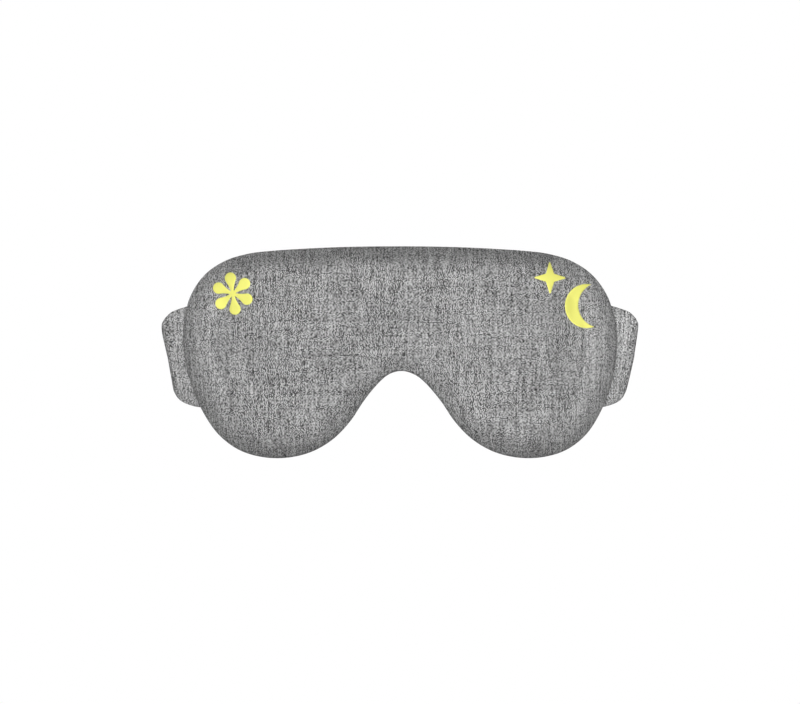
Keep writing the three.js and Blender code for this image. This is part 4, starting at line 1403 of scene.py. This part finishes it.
# pull tab
TAB_S = LAST + (36 - TAB_FOLD_X) / 12.0
TAB_END = LAST + (36 + 27) / 12.0
V, F, UV = padded_band("tab", BAND, 1, LAST - 0.62, TAB_END, 2.6, CLOTH_TURNED, width=15.0, power=9, round1=8.0, seed=211)
tab = make("pull_tab_cloth", V, F, UV, CLOTH_TURNED)
a = ((TAB_FOLD_X + 5) / 1000, 0.14505, 0.009)
b = ((TAB_FOLD_X - 5) / 1000, 0.14505, 0.009)
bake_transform(tab)
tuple(a)
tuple(b)
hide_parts("tab_root", "hook_tab")
V, F, UV = padded_band("hook", BAND, 1, LAST + 20 / 12.0, LAST + 55 / 12.0, 1.1, HOOK, width=12.9, power=16, offset=-2.6 / 2 - 0.35, soft=0.0,
                       step=1.2, round0=3, round1=3, seed=3)
hook = make("hook_patch_tape", V, F, UV, HOOK)
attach(hook, "pull_tab")
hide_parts("hook_patch")
parts = []
for o_s, sg in ((1.3 + 0.05, 1), (-1.3 - 0.1, -1)):
    items = row_v(BAND, LAST - 0.5, -13.4, 13.4, o_s) + row_v(BAND, LAST - 0.32, -13.4, 13.4, o_s)
    parts.append(straight_stitches(BAND, 1, items, sign=sg))
ts = seams("tab_join_stitches", parts)
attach(ts, "tab_base")
items = row_u(BAND, LAST + 21 / 12.0, LAST + 54 / 12.0, 11.7, 1.3, 2.8) + row_u(BAND, LAST + 21 / 12.0, LAST + 54 / 12.0, -11.7, 1.3, 2.8)
items += row_v(BAND, LAST + 20.8 / 12.0, -11.2, 11.2, 1.3, 2.8) + row_v(BAND, LAST + 54.2 / 12.0, -11.2, 11.2, 1.3, 2.8)
ts = seams("tab_patch_stitches", [straight_stitches(BAND, 1, items)])
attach(ts, "pull_tab")

# ---------------------------------------------------------------- stage, light and camera
floor_mat = Nodes("floor_paint")
fn = floor_mat.noise(floor_mat.position(), 3.0, 3)
floor_mat.set(Base_Color=floor_mat.mix(fn, (0.80, 0.80, 0.80, 1), (0.83, 0.83, 0.83, 1)), Roughness=0.9, Specular_IOR_Level=0.1,
              Emission_Color=(1, 1, 1, 1), Emission_Strength=0.93)
R = 12.0
circle = [[1000 * R * math.cos(2 * math.pi * k / 96), 1000 * R * math.sin(2 * math.pi * k / 96), -1500.0] for k in range(96)]
floor = make("floor", np.array(circle), [list(range(96))], None, floor_mat.mat)
floor.visible_diffuse = False
floor.visible_glossy = False

world = bpy.data.worlds.new("studio")
bpy.context.scene.world = world
world.use_nodes = True
wt = world.node_tree
wt.nodes.clear()
wo = wt.nodes.new("ShaderNodeOutputWorld")
mixw = wt.nodes.new("ShaderNodeMixShader")
path_n = wt.nodes.new("ShaderNodeLightPath")
seen_bg = wt.nodes.new("ShaderNodeBackground")
lit_bg = wt.nodes.new("ShaderNodeBackground")
seen_bg.inputs[0].default_value = (1, 1, 1, 1)
seen_bg.inputs[1].default_value = 1.0
lit_bg.inputs[0].default_value = (1, 1, 1, 1)
lit_bg.inputs[1].default_value = 0.09
wt.links.new(path_n.outputs["Is Camera Ray"], mixw.inputs[0])
wt.links.new(lit_bg.outputs[0], mixw.inputs[1])
wt.links.new(seen_bg.outputs[0], mixw.inputs[2])
wt.links.new(mixw.outputs[0], wo.inputs[0])


def softbox(name, location, target, size, power, shape="SQUARE"):
    data = bpy.data.lights.new(name, "AREA")
    data.shape = shape
    data.size = size
    data.energy = power
    o = bpy.data.objects.new(name, data)
    bpy.context.scene.collection.objects.link(o)
    o.location = location
    o.visible_camera = False
    o.rotation_euler = (Vector(target) - Vector(location)).to_track_quat("-Z", "Y").to_euler()
    return o


softbox("key", (-0.08, -2.2, 0.05), (0, 0, 0), 0.7, 50.4)
softbox("back_fill", (-0.9, 2.3, 0.9), (0, 0.05, 0), 1.2, 40)
softbox("back_fill_low", (1.4, 1.6, 0.1), (0, 0.05, 0), 1.2, 14)

cam_data = bpy.data.cameras.new("camera")
cam_data.sensor_width = 36
cam_data.lens = 180.45
cam_data.clip_end = 50
cam = bpy.data.objects.new("camera", cam_data)
bpy.context.scene.collection.objects.link(cam)
cam.location = (-0.00015, -2.0, 0.00025)
cam.rotation_euler = (math.radians(90), 0, 0)
bpy.context.scene.camera = cam
bpy.context.scene.view_settings.view_transform = "Standard"
bpy.context.scene.view_settings.look = "None"
